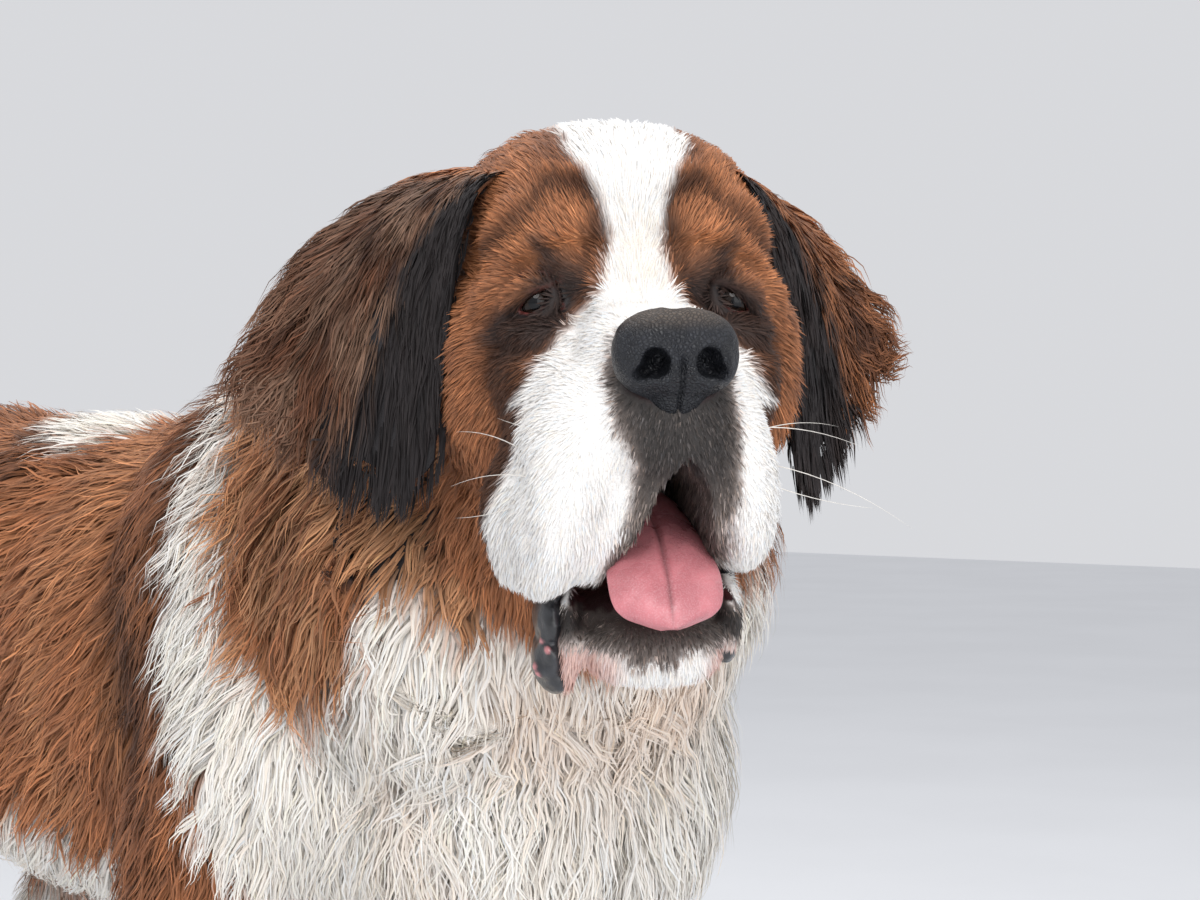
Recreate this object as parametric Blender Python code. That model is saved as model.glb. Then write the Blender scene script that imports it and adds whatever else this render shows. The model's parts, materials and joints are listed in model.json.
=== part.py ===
"""A long-haired Saint Bernard, life size, standing with its head turned to its right.

The dog faces -Y and its left side is +X. Everything is in metres. The flesh is blocked out with
named ellipsoids and limbs, fused into one closed surface, dressed with tapered locks where the
coat is long, and then parted with thin cuts into the pieces that a person would name.
"""

import math
import random

import bmesh
import bpy
from mathutils import Euler, Matrix, Vector
from mathutils.bvhtree import BVHTree

# Driving sizes of the dog
WITHERS_HEIGHT = 0.785
CHEST_WIDTH = 0.350
CHEST_DEPTH = 0.400
LEG_SPREAD = 0.130
HIND_SPREAD = 0.130
SKULL_WIDTH = 0.200
EYE_RADIUS = 0.0155
EYE_SPREAD = 0.061
GAP = 0.0003

# Where the head is carried: its middle, then its turn, nod and lean
HEAD_AT = Vector((-0.092, -0.590, 0.845))
HEAD_TURN = math.radians(35.0)
HEAD_NOD = math.radians(4.5)
HEAD_LEAN = math.radians(-1.1)

# Fineness of the solids
BODY_VOXEL = 0.012
BODY_ROUNDS = 14
BODY_FACES = 2400
HEAD_VOXEL = 0.0055
HEAD_ROUNDS = 8
HEAD_FACES = 2240
PAW_VOXEL = 0.0045
PAW_ROUNDS = 4
PAW_FACES = 258

SEED = 7
SIDES = (("left", 1), ("right", -1))


def head_place():
    """The matrix that carries the head's own frame into the dog's."""
    turn = Matrix.Rotation(-HEAD_TURN, 4, "Z")
    nod = Matrix.Rotation(HEAD_NOD, 4, "X")
    lean = Matrix.Rotation(HEAD_LEAN, 4, "Y")
    return Matrix.Translation(HEAD_AT) @ turn @ nod @ lean


HEAD = head_place()


# Helpers that make and finish meshes


def clear_scene():
    for obj in list(bpy.data.objects):
        bpy.data.objects.remove(obj)


def mesh_of(bm, name):
    bmesh.ops.recalc_face_normals(bm, faces=bm.faces)
    bmesh.ops.triangulate(bm, faces=bm.faces)
    mesh = bpy.data.meshes.new(name)
    bm.to_mesh(mesh)
    bm.free()
    return mesh


def place(name, mesh):
    obj = bpy.data.objects.new(name, mesh)
    bpy.context.scene.collection.objects.link(obj)
    return obj


def discard(obj):
    bpy.data.objects.remove(obj)


def finished(obj):
    """Applies the object's modifiers."""
    bpy.context.view_layer.update()
    graph = bpy.context.evaluated_depsgraph_get()
    mesh = bpy.data.meshes.new_from_object(obj.evaluated_get(graph))
    obj.modifiers.clear()
    obj.data = mesh
    return obj


def fused(name, mesh, voxel, rounds, faces):
    """One smooth closed surface round all the shells of the mesh."""
    obj = place(name, mesh)
    remesh = obj.modifiers.new("skin over", "REMESH")
    remesh.mode = "VOXEL"
    remesh.voxel_size = voxel
    smooth = obj.modifiers.new("soften", "SMOOTH")
    smooth.factor = 0.5
    smooth.iterations = rounds
    finished(obj)
    obj.modifiers.new("triangles", "TRIANGULATE")
    finished(obj)
    decimate = obj.modifiers.new("fewer faces", "DECIMATE")
    decimate.ratio = min(1.0, faces / len(obj.data.polygons))
    finished(obj)
    return obj


def combined(obj, others, operation, solver="EXACT"):
    """One Boolean of the object with all of the others, which are then removed."""
    tools = bpy.data.collections.new("tools")
    bpy.context.scene.collection.children.link(tools)
    for other in others:
        for home in list(other.users_collection):
            home.objects.unlink(other)
        tools.objects.link(other)
    boolean = obj.modifiers.new("combine", "BOOLEAN")
    boolean.operation = operation
    boolean.solver = solver
    boolean.operand_type = "COLLECTION"
    boolean.collection = tools
    finished(obj)
    for other in list(others):
        discard(other)
    bpy.data.collections.remove(tools)
    return obj


def volume_of(faces):
    total = 0.0
    for face in faces:
        a, b, c = (v.co for v in face.verts)
        total += a.dot(b.cross(c))
    return total


def sound(bm):
    """Whether every edge has two faces and every face some area."""
    return all(len(e.link_faces) == 2 for e in bm.edges) and all(
        f.calc_area() > 1e-13 for f in bm.faces
    )


def keep_largest(obj):
    """Keeps the largest closed surface, which fills sealed hollows and drops scraps."""
    trials = [
        (near, method)
        for near in (0.000004, 0.00001, 0.000001, 0.00002, 0.0000003)
        for method in ("BEAUTY", "EAR_CLIP")
    ]
    for near, method in trials:
        bm = bmesh.new()
        bm.from_mesh(obj.data)
        bmesh.ops.remove_doubles(bm, verts=bm.verts, dist=near)
        bmesh.ops.dissolve_degenerate(bm, edges=bm.edges, dist=near / 2)
        bmesh.ops.triangulate(bm, faces=bm.faces, ngon_method=method)
        if sound(bm) or (near, method) == trials[-1]:
            break
        bm.free()
    unseen = set(bm.faces)
    shells = []
    while unseen:
        front = [unseen.pop()]
        shell = list(front)
        while front:
            face = front.pop()
            for edge in face.edges:
                for beside in edge.link_faces:
                    if beside in unseen:
                        unseen.discard(beside)
                        front.append(beside)
                        shell.append(beside)
        shells.append(shell)
    largest = max(shells, key=volume_of)
    chosen = set(largest)
    bmesh.ops.delete(bm, geom=[f for f in bm.faces if f not in chosen], context="FACES")
    bm.to_mesh(obj.data)
    bm.free()
    return obj


def copy_of(obj, name):
    return place(name, obj.data.copy())


def swollen(obj, name, by=GAP):
    """A copy whose surface stands off by the touching gap."""
    twin = copy_of(obj, name)
    bm = bmesh.new()
    bm.from_mesh(twin.data)
    bm.normal_update()
    shifts = [(v, v.normal * by) for v in bm.verts]
    for vertex, shift in shifts:
        vertex.co += shift
    bm.to_mesh(twin.data)
    bm.free()
    return twin


def material(name, colour, roughness):
    mat = bpy.data.materials.new(name)
    mat.use_nodes = True
    shader = mat.node_tree.nodes["Principled BSDF"]
    shader.inputs["Base Color"].default_value = (*colour, 1.0)
    shader.inputs["Roughness"].default_value = roughness
    shader.inputs["Metallic"].default_value = 0.0
    return mat


# Forms that the flesh is blocked out with


def blob(bm, at, size, tilt=(0, 0, 0), square=2.0, frame=None, rounds=3):
    """An ellipsoid, or with a higher square a rounded block, of these half sizes."""
    made = bmesh.ops.create_icosphere(bm, subdivisions=rounds, radius=1.0)["verts"]
    angles = Euler([math.radians(a) for a in tilt])
    matrix = Matrix.LocRotScale(Vector(at), angles, Vector(size))
    if frame is not None:
        matrix = frame @ matrix
    for vertex in made:
        co = vertex.co
        reach = sum(abs(c) ** square for c in co) ** (1.0 / square)
        vertex.co = matrix @ (co / reach)


def along(stops, share):
    """A point and a radius on the smooth line through (point, radius) stops."""
    spans = len(stops) - 1
    span = min(int(share * spans), spans - 1)
    t = share * spans - span
    known = [stops[max(0, min(spans, span + k))] for k in (-1, 0, 1, 2)]
    points = [Vector((*p, r)) for p, r in known]
    a, b, c, d = points
    mid = b * 2 + (c - a) * t + (a * 2 - b * 5 + c * 4 - d) * t**2 + (b * 3 - a - c * 3 + d) * t**3
    mid = mid / 2
    return Vector(mid[:3]), mid[3]


def limb(bm, stops, balls=12, flat=1.0, frame=None):
    """A row of balls along the stops that fuses into a limb, flat times as wide as deep."""
    for k in range(balls):
        at, radius = along(stops, k / (balls - 1))
        blob(bm, at, (radius * flat, radius, radius), frame=frame, rounds=2)


def torso_forms(bm):
    half = CHEST_WIDTH / 2
    top = WITHERS_HEIGHT
    deep = CHEST_DEPTH / 2
    blob(bm, (0, -0.080, top - 0.026 - deep), (half, 0.285, deep), square=2.2)
    blob(bm, (0, -0.300, 0.550), (half * 0.92, 0.165, 0.180))
    blob(bm, (0.012, -0.405, 0.480), (half * 0.80, 0.115, 0.160))
    blob(bm, (0.046, -0.428, 0.525), (0.098, 0.098, 0.175))
    blob(bm, (0, -0.170, top - 0.095), (half * 0.60, 0.200, 0.092))
    blob(bm, (0, 0.120, 0.600), (half * 0.90, 0.290, 0.166), square=2.2)
    blob(bm, (0, 0.310, 0.648), (half * 0.80, 0.180, 0.130))
    blob(bm, (0, 0.425, 0.610), (half * 0.58, 0.060, 0.090))
    for side in (-1, 1):
        blob(bm, (side * 0.125, -0.240, 0.590), (0.072, 0.115, 0.180), tilt=(-14, 0, 0))
        blob(bm, (side * 0.106, 0.315, 0.550), (0.082, 0.155, 0.185), tilt=(12, 0, 0))
        blob(bm, (side * 0.128, 0.225, 0.460), (0.055, 0.088, 0.115), tilt=(20, 0, 0))
        blob(bm, (side * 0.072, 0.010, 0.472), (0.094, 0.225, 0.100))


def neck_forms(bm):
    """The neck is carried forwards and bent to the dog's right; its coat widens to a ruff."""
    nape = HEAD @ Vector((0, 0.085, -0.010))
    throat = HEAD @ Vector((0, 0.035, -0.110))
    over = [((0, -0.150, 0.632), 0.152), ((-0.010, -0.330, 0.722), 0.152), (nape, 0.108)]
    under = [((0, -0.270, 0.530), 0.150), ((-0.006, -0.440, 0.632), 0.142), (throat, 0.094)]
    limb(bm, over)
    limb(bm, under)
    for side in (-1, 1):
        blob(bm, (side * 0.085 - 0.020, -0.395, 0.640), (0.085, 0.120, 0.150), tilt=(-30, 0, 0))


def foreleg_stops(side):
    x = side * LEG_SPREAD
    ahead = -0.012 if side > 0 else 0.010
    return [
        ((x * 0.98, -0.275, 0.520), 0.086),
        ((x * 1.02, -0.215, 0.420), 0.078),
        ((x * 1.02, -0.228 + ahead * 0.5, 0.290), 0.064),
        ((x, -0.244 + ahead, 0.170), 0.054),
        ((x, -0.260 + ahead, 0.075), 0.051),
    ]


def hindleg_stops(side):
    x = side * HIND_SPREAD
    back = 0.030 if side > 0 else -0.015
    return [
        ((x * 0.88, 0.320, 0.560), 0.110),
        ((x * 1.02, 0.262 + back * 0.3, 0.420), 0.092),
        ((x * 1.02, 0.345 + back * 0.7, 0.300), 0.066),
        ((x, 0.408 + back, 0.215), 0.050),
        ((x, 0.404 + back, 0.120), 0.045),
        ((x, 0.394 + back, 0.070), 0.046),
    ]


def paw_at(stops, wide):
    """The middle of the paw under the last stop, on the floor, and its half width."""
    (x, y, _), _ = stops[-1]
    return Vector((x, y - 0.030, 0.0)), wide


TOE_STEPS = (-1.5, -0.5, 0.5, 1.5)
ANKLE_HEIGHT = 0.082


def toe_at(at, wide, step):
    outer = abs(step) > 1
    return at + Vector((step * wide * 0.50, -wide * (0.60 if outer else 0.84), 0.020))


def paw_forms(bm, at, wide):
    """A broad strong paw: the pad, the instep and four well arched toes."""
    blob(bm, at + Vector((0, 0.012, 0.028)), (wide * 0.92, wide * 1.05, 0.040))
    blob(bm, at + Vector((0, 0.022, 0.056)), (wide * 0.78, wide * 0.82, 0.036))
    for step in TOE_STEPS:
        toe = toe_at(at, wide, step)
        blob(bm, toe, (wide * 0.275, wide * 0.52, 0.0265))


def tail_stops():
    """The tail hangs low, with its last third bent slightly up."""
    return [
        ((0, 0.420, 0.655), 0.058),
        ((0.002, 0.530, 0.610), 0.056),
        ((0.006, 0.606, 0.480), 0.054),
        ((0.010, 0.622, 0.345), 0.048),
        ((0.012, 0.662, 0.215), 0.022),
    ]


def paws():
    """Each paw's name, place, half width and leg."""
    found = []
    for word, side in SIDES:
        for kind, stops, wide in (
            ("forepaw_", foreleg_stops(side), 0.054),
            ("hindpaw_", hindleg_stops(side), 0.049),
        ):
            found.append((kind + word, *paw_at(stops, wide), stops))
    return found


def body_core():
    bm = bmesh.new()
    torso_forms(bm)
    neck_forms(bm)
    for _, side in SIDES:
        limb(bm, foreleg_stops(side), balls=16, flat=0.92)
        limb(bm, hindleg_stops(side), balls=18, flat=0.86)
    limb(bm, tail_stops(), balls=14)
    skull_forms(bm)
    throat_forms(bm)
    return fused("body", mesh_of(bm, "body"), BODY_VOXEL, BODY_ROUNDS, BODY_FACES)


# The head, in its own frame: x to its left, y back, z up, from the middle of the skull


def skull_forms(bm):
    half = SKULL_WIDTH / 2
    blob(bm, (0, 0.008, 0.030), (half * 1.00, 0.102, 0.074), square=2.2, frame=HEAD)
    blob(bm, (0, -0.046, 0.034), (half * 0.72, 0.056, 0.056), frame=HEAD)
    blob(bm, (0, 0.060, -0.030), (half * 1.02, 0.080, 0.092), frame=HEAD)
    blob(bm, (0, -0.072, -0.004), (0.052, 0.036, 0.034), frame=HEAD)
    for side in (-1, 1):
        blob(bm, (side * 0.050, -0.056, 0.022), (0.044, 0.042, 0.040), frame=HEAD)
        blob(bm, (side * 0.064, -0.060, -0.014), (0.038, 0.036, 0.042), frame=HEAD)
        blob(bm, (side * 0.074, -0.012, -0.050), (0.044, 0.076, 0.080), frame=HEAD)
        blob(bm, (side * 0.058, -0.084, -0.056), (0.038, 0.048, 0.044), frame=HEAD)


def muzzle_forms(bm):
    """The square muzzle and the flews, the right one fuller as the lips part."""
    blob(bm, (0, -0.132, -0.056), (0.047, 0.070, 0.046), square=3.0, frame=HEAD)
    blob(bm, (0, -0.184, -0.078), (0.042, 0.032, 0.036), square=2.4, frame=HEAD)
    blob(bm, (0, -0.160, -0.118), (0.042, 0.040, 0.052), frame=HEAD)
    for side in (-1, 1):
        x = side * (0.054 if side < 0 else 0.039)
        low = -0.120 if side < 0 else -0.106
        tilt = (0, side * -15, side * 6)
        blob(bm, (x, -0.150, low + 0.006), (0.034, 0.054, 0.076), tilt, frame=HEAD)
        blob(bm, (x * 1.10, -0.104, low + 0.008), (0.036, 0.062, 0.078), tilt, frame=HEAD)


def throat_forms(bm):
    blob(bm, (0, 0.010, -0.125), (0.076, 0.085, 0.085), frame=HEAD)


def extruded(name, outline, frame=None, axis=0, low=-1.0, high=1.0):
    """A closed block whose outline, seen along an axis, is the given corners."""
    bm = bmesh.new()
    rings = []
    for end in (low, high):
        ring = []
        for a, b in outline:
            spot = [a, b]
            spot.insert(axis, end)
            spot = Vector(spot)
            ring.append(bm.verts.new(frame @ spot if frame is not None else spot))
        rings.append(ring)
    bm.faces.new(rings[0])
    bm.faces.new(list(reversed(rings[1])))
    for k in range(len(outline)):
        n = (k + 1) % len(outline)
        bm.faces.new((rings[0][n], rings[0][k], rings[1][k], rings[1][n]))
    return place(name, mesh_of(bm, name))


def mouth_cutter():
    """The opening below the palate: an upturned V between the lips."""
    half = ((0.0, -0.110), (0.012, -0.140), (0.030, -0.185), (0.046, -0.215), (0.060, -0.300))
    outline = [(-x, z) for x, z in reversed(half)] + list(half[1:])
    return extruded("mouth cutter", outline, HEAD, 1, -0.300, -0.050)


def ball_object(name, at, radius, rounds=3, frame=HEAD, size=(1, 1, 1), tilt=(0, 0, 0)):
    bm = bmesh.new()
    blob(bm, at, Vector(size) * radius, tilt=tilt, frame=frame, rounds=rounds)
    return place(name, mesh_of(bm, name))


def eye_at(side):
    return Vector((side * EYE_SPREAD, -0.085, -0.010))


def lid(name, side, rise, thick, wide):
    """One lid: a tapered arc over the front of the eyeball, from the inner to the outer corner."""
    stops = []
    count = 9
    for k in range(count):
        share = k / (count - 1)
        swing = math.radians(wide * (2 * share - 1))
        lift = math.sin(math.pi * share)
        across = math.sin(swing) * side
        ahead = math.cos(swing)
        reach = EYE_RADIUS + thick * 0.25
        z = rise * lift + (0.0006 if rise > 0 else -0.0006) - 0.0035 * share
        x = across * reach
        y = -ahead * math.sqrt(max(reach**2 - z**2, 0.0)) if abs(z) < reach else 0.0
        stops.append((eye_at(side) + Vector((x, y, z)), thick * (0.55 + 0.45 * lift)))
    bm = bmesh.new()
    tube(bm, stops, 6, frame=HEAD)
    return place(name, mesh_of(bm, name))


def tube(bm, stops, corners, frame=None, flat=1.0, up=Vector((0, 0, 1))):
    """A closed tube through (point, radius) stops."""
    points = [Vector(p) for p, _ in stops]
    rings = []
    for k, (_, radius) in enumerate(stops):
        ahead = points[min(k + 1, len(points) - 1)] - points[max(k - 1, 0)]
        ahead.normalize()
        across = ahead.cross(up).normalized()
        over = across.cross(ahead)
        ring = []
        for c in range(corners):
            angle = math.tau * c / corners
            spot = points[k] + (across * math.cos(angle) + over * math.sin(angle) * flat) * radius
            ring.append(bm.verts.new(frame @ spot if frame is not None else spot))
        rings.append(ring)
    for ring, nxt in zip(rings, rings[1:]):
        for c in range(corners):
            d = (c + 1) % corners
            bm.faces.new((ring[c], ring[d], nxt[d], nxt[c]))
    bm.faces.new(list(reversed(rings[0])))
    bm.faces.new(rings[-1])


def head_core():
    bm = bmesh.new()
    skull_forms(bm)
    muzzle_forms(bm)
    throat_forms(bm)
    neck_forms(bm)
    head = fused("head", mesh_of(bm, "head"), HEAD_VOXEL, HEAD_ROUNDS, HEAD_FACES)
    skull = swollen(head, "skull")
    combined(head, [mouth_cutter()], "DIFFERENCE")
    lids = []
    for word, side in SIDES:
        lids.append(lid("upper lid " + word, side, 0.0085, 0.0052, 66))
        lids.append(lid("lower lid " + word, side, -0.0115, 0.0048, 59))
    combined(head, lids, "UNION")
    sockets = [
        ball_object("socket " + word, eye_at(side), EYE_RADIUS + GAP) for word, side in SIDES
    ]
    combined(head, sockets, "DIFFERENCE")
    return keep_largest(head), skull


def jaw_forms(bm):
    blob(bm, (0, -0.136, -0.218), (0.043, 0.040, 0.024), square=2.6, frame=HEAD)
    blob(bm, (0, -0.070, -0.205), (0.050, 0.078, 0.032), square=2.4, frame=HEAD)
    blob(bm, (0, 0.000, -0.185), (0.056, 0.070, 0.040), frame=HEAD)
    for side in (-1, 1):
        droop = 0.010 if side < 0 else 0.0
        size = (0.011, 0.030, 0.028 + droop)
        blob(bm, (side * 0.050, -0.112, -0.202 - droop), size, frame=HEAD)


def tongue_stops():
    return [
        ((0, -0.045, -0.170), 0.026),
        ((0, -0.095, -0.163), 0.030),
        ((0.000, -0.145, -0.162), 0.033),
        ((-0.001, -0.184, -0.170), 0.034),
        ((-0.002, -0.200, -0.186), 0.030),
        ((-0.002, -0.204, -0.198), 0.018),
    ]


TONGUE_THICK = 0.0050


def tongue_object():
    """A broad flat tongue with a groove along it, its tip over the lower lip."""
    bm = bmesh.new()
    across_steps = 8
    along_steps = 9
    top, bottom = [], []
    for k in range(along_steps):
        share = k / (along_steps - 1)
        at, half = along(tongue_stops(), share)
        ahead = along(tongue_stops(), min(1, share + 0.02))[0]
        behind = along(tongue_stops(), max(0, share - 0.02))[0]
        over = Vector((1, 0, 0)).cross((behind - ahead).normalized())
        over = over if over.z > 0 else -over
        row_top, row_bottom = [], []
        for c in range(across_steps + 1):
            v = c / across_steps * 2 - 1
            edge = 1 - abs(v) ** 3
            groove = -0.0026 * math.exp(-((v / 0.16) ** 2)) * math.sin(math.pi * min(share * 1.1, 1))
            spot = at + Vector((v * half, 0, 0)) - over * (0.006 * v * v)
            row_top.append(bm.verts.new(HEAD @ (spot + over * (TONGUE_THICK * edge + groove))))
            row_bottom.append(bm.verts.new(HEAD @ (spot - over * (TONGUE_THICK * edge + 0.0012))))
        top.append(row_top)
        bottom.append(row_bottom)
    skin_two_sides(bm, top, bottom)
    return place("tongue", mesh_of(bm, "tongue"))


def skin_two_sides(bm, top, bottom):
    """Faces over two like grids of points and the rim between them, cut alike on both sides."""
    rows, cols = len(top), len(top[0])
    for j in range(rows - 1):
        for k in range(cols - 1):
            a, b, c, d = top[j][k], top[j][k + 1], top[j + 1][k + 1], top[j + 1][k]
            bm.faces.new((a, b, c))
            bm.faces.new((a, c, d))
            a, b, c, d = bottom[j][k], bottom[j][k + 1], bottom[j + 1][k + 1], bottom[j + 1][k]
            bm.faces.new((a, c, b))
            bm.faces.new((a, d, c))
    rim = [(0, k) for k in range(cols)] + [(j, cols - 1) for j in range(1, rows)]
    rim += [(rows - 1, k) for k in range(cols - 2, -1, -1)] + [(j, 0) for j in range(rows - 2, 0, -1)]
    for k, (j, c) in enumerate(rim):
        j2, c2 = rim[(k + 1) % len(rim)]
        bm.faces.new((top[j][c], bottom[j][c], bottom[j2][c2], top[j2][c2]))


def nose_object():
    """The leather of the nose with two comma-shaped nostrils."""
    bm = bmesh.new()
    blob(bm, (0, -0.206, -0.038), (0.034, 0.024, 0.027), square=2.5, frame=HEAD, rounds=3)
    blob(bm, (0, -0.196, -0.058), (0.020, 0.024, 0.020), square=2.2, frame=HEAD, rounds=2)
    nose = fused("nose", mesh_of(bm, "nose"), 0.0030, 3, 300)
    holes = []
    for word, side in SIDES:
        size = Vector((0.0088, 0.020, 0.0078))
        at = (side * 0.0150, -0.230, -0.043)
        holes.append(ball_object("nostril " + word, at, 1.0, 2, HEAD, size, (0, 0, side * 14)))
        size = Vector((0.0042, 0.018, 0.0036))
        at = (side * 0.0245, -0.226, -0.047)
        holes.append(ball_object("nostril slit " + word, at, 1.0, 2, HEAD, size, (0, 0, side * 24)))
    combined(nose, holes, "DIFFERENCE")
    return keep_largest(nose)


# Ears


def bend(a, b, c, t):
    """A point on the arc that starts at a, is drawn towards b and ends at c."""
    a, b, c = Vector(a), Vector(b), Vector(c)
    return a * (1 - t) ** 2 + b * (2 * t * (1 - t)) + c * t**2


EAR_FLARE = {1: 0.80, -1: 1.0}


def ear_spot(side, down, back):
    """A point of the ear leather: down from 0 at its root to 1 at its tip, back from front edge."""
    flare = EAR_FLARE[side]
    root = Vector((0.070, -0.036, 0.066)).lerp(Vector((0.072, 0.056, 0.074)), back)
    over = Vector((0.112, -0.060, 0.080)).lerp(Vector((0.168, 0.092, 0.112)), back)
    tip = Vector((0.140, -0.036, -0.156)).lerp(Vector((0.226, 0.070, -0.075)), back)
    corner = math.sin(math.pi * min(1.0, back))
    tip += Vector((-0.004, -0.004, -0.012)) * corner
    tip.x = 0.120 + (tip.x - 0.120) * flare
    over.x = 0.110 + (over.x - 0.110) * flare
    tip.z += 0.030 * max(0.0, 1 - back / 0.18) ** 2
    spot = bend(root, over, tip, down)
    crown = corner * 0.014 * math.sin(math.pi * min(1, down * 1.1))
    spot += Vector((0.5, -0.85, 0.0)) * crown
    return Vector((spot.x * side, spot.y, spot.z))


def ear_out(side, down, back):
    """The way out of an ear's outer face."""
    step_down = ear_spot(side, down + 0.02, back) - ear_spot(side, down - 0.02, back)
    step_back = ear_spot(side, down, back + 0.02) - ear_spot(side, down, back - 0.02)
    out = step_back.cross(step_down).normalized()
    return out if out.x * side + out.z * 0.8 - out.y * 0.5 > 0 else -out


def ear_object(word, side):
    """A hanging ear: a folded sheet with a shallow cup inside."""
    bm = bmesh.new()
    rows, cols = 11, 7
    outer, inner = [], []
    for j in range(rows):
        row_out, row_in = [], []
        for k in range(cols):
            down, back = j / (rows - 1), k / (cols - 1)
            spot = ear_spot(side, down, back)
            out = ear_out(side, down, back)
            edge = 1 - max(abs(back * 2 - 1) ** 4, down**6) * 0.62
            thick = 0.0075 * edge
            row_out.append(bm.verts.new(HEAD @ (spot + out * thick)))
            row_in.append(bm.verts.new(HEAD @ (spot - out * thick * 0.55)))
        outer.append(row_out)
        inner.append(row_in)
    skin_two_sides(bm, outer, inner)
    return place("ear_" + word, mesh_of(bm, "ear_" + word))


# Claws


def claw_object(name, toe, wide):
    """A short blunt claw that leaves the toe forwards and bends down."""
    bm = bmesh.new()
    root = toe + Vector((0, -wide * 0.34, 0.004))
    stops = [
        (root, 0.0064),
        (root + Vector((0, -0.013, -0.0010)), 0.0054),
        (root + Vector((0, -0.022, -0.0100)), 0.0020),
    ]
    tube(bm, stops, 5)
    return place(name, mesh_of(bm, name))


# Lie of the coat and its locks


def mirrored(rows):
    """Adds the other side's twin to each guide that is off the middle plane."""
    both = []
    for at, way in rows:
        both.append((Vector(at), Vector(way).normalized()))
        if abs(at[0]) > 0.001:
            both.append((Vector((-at[0], *at[1:])), Vector((-way[0], *way[1:])).normalized()))
    return both


def lie_guides():
    """Places on the body and the way that the hair lies there."""
    return mirrored([
        ((0.000, -0.300, 0.830), (0, 1.0, -0.15)),
        ((0.130, -0.330, 0.740), (0.15, 0.35, -0.90)),
        ((0.000, -0.430, 0.640), (0, -0.15, -1.0)),
        ((0.080, -0.420, 0.560), (0.10, -0.05, -1.0)),
        ((0.000, -0.340, 0.420), (0, 0.25, -1.0)),
        ((0.160, -0.250, 0.620), (0.05, 0.35, -0.95)),
        ((0.160, -0.050, 0.580), (0.02, 0.75, -0.65)),
        ((0.000, -0.100, 0.790), (0, 1.0, -0.10)),
        ((0.110, 0.050, 0.740), (0.35, 0.85, -0.40)),
        ((0.000, 0.200, 0.770), (0, 1.0, -0.10)),
        ((0.000, 0.050, 0.410), (0, 0.75, -0.65)),
        ((0.150, 0.180, 0.560), (0, 0.65, -0.75)),
        ((0.110, 0.400, 0.700), (0.15, 0.60, -0.80)),
        ((0.150, 0.350, 0.500), (0.02, 0.45, -0.90)),
        ((0.100, 0.470, 0.500), (0, 0.50, -0.90)),
        ((0.120, -0.150, 0.380), (0, 0.55, -0.85)),
        ((0.120, -0.200, 0.200), (0, 0.45, -0.90)),
        ((0.125, 0.400, 0.300), (0, 0.40, -0.92)),
    ])


def lie_at(spot, guides, normal):
    """The way that the hair lies at a spot, along the surface."""
    way = Vector((0, 0, -0.02))
    for at, push in guides:
        way += push / ((spot - at).length_squared + 0.0015) ** 1.5
    way.normalize()
    flat = way - normal * way.dot(normal)
    return flat.normalized() if flat.length > 0.05 else normal.orthogonal().normalized()


class Surface:
    """The skin that the locks grow from."""

    def __init__(self, obj):
        bm = bmesh.new()
        bm.from_mesh(obj.data)
        bmesh.ops.triangulate(bm, faces=bm.faces)
        self.tree = BVHTree.FromBMesh(bm)
        self.corners = [[v.co.copy() for v in f.verts] for f in bm.faces]
        self.normals = [f.normal.copy() for f in bm.faces]
        self.areas = [f.calc_area() for f in bm.faces]
        bm.free()

    def nearest(self, spot):
        at, normal, _, _ = self.tree.find_nearest(spot)
        return at, normal

    def spots(self, count, draw):
        """Random spots spread by area, each with its normal."""
        faces = draw.choices(range(len(self.areas)), weights=self.areas, k=count)
        found = []
        for face in faces:
            a, b, c = self.corners[face]
            u, v = draw.random(), draw.random()
            if u + v > 1:
                u, v = 1 - u, 1 - v
            found.append((a + (b - a) * u + (c - a) * v, self.normals[face]))
        return found


LOCK_CORNERS = 4
LOCK_STEPS = 3


def lock_shell(bm, centres, outs, width, thick):
    """A closed flat lock with a ring round each centre but the last, which is its tip."""
    rings = []
    last = len(centres) - 1
    for step, (at, out) in enumerate(zip(centres, outs)):
        if step == last:
            rings.append([bm.verts.new(at)])
            break
        way = centres[step + 1] - centres[max(step - 1, 0)]
        across = way.cross(out).normalized()
        over = across.cross(way).normalized()
        share = step / last
        half = width / 2 * (0.80, 1.0, 0.82, 0.60)[min(step, 3)]
        deep = thick / 2 * (1.15 - 0.55 * share)
        ring = []
        for corner in range(LOCK_CORNERS):
            angle = math.tau * corner / LOCK_CORNERS
            shift = across * math.cos(angle) * half + over * math.sin(angle) * deep
            ring.append(bm.verts.new(at + shift))
        rings.append(ring)
    for ring, nxt in zip(rings, rings[1:]):
        for c in range(LOCK_CORNERS):
            d = (c + 1) % LOCK_CORNERS
            if len(nxt) == 1:
                bm.faces.new((ring[c], ring[d], nxt[0]))
            else:
                bm.faces.new((ring[c], ring[d], nxt[d], nxt[c]))
    bm.faces.new(list(reversed(rings[0])))


def lock(name, surface, guides, spot, normal, coat, draw):
    """A flat, tapered lock that leaves the skin, lies over it and bends to its tip."""
    length, width, thick, lift = (coat[k] * draw.uniform(0.85, 1.15) for k in range(4))
    sway = draw.uniform(-0.45, 0.45)
    centres, outs = [spot - normal * thick * 0.9], [normal.copy()]
    feet = [spot.copy()]
    here, out = spot.copy(), normal.copy()
    for step in range(1, LOCK_STEPS + 1):
        way = lie_at(here, guides, out)
        way = (way + way.cross(out) * sway * (1 if step < 3 else -0.8)).normalized()
        here, out = surface.nearest(here + way * length / LOCK_STEPS)
        feet.append(here.copy())
        outs.append(out.copy())
    if piece_at(feet[0]) != piece_at(feet[-1]):
        lift *= 0.25
    for step in range(1, LOCK_STEPS + 1):
        rise = lift * (0.45 + 0.55 * step / LOCK_STEPS)
        centres.append(feet[step] + outs[step] * rise)
    bm = bmesh.new()
    lock_shell(bm, centres, outs, width, thick)
    return place(name, mesh_of(bm, name))


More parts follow.
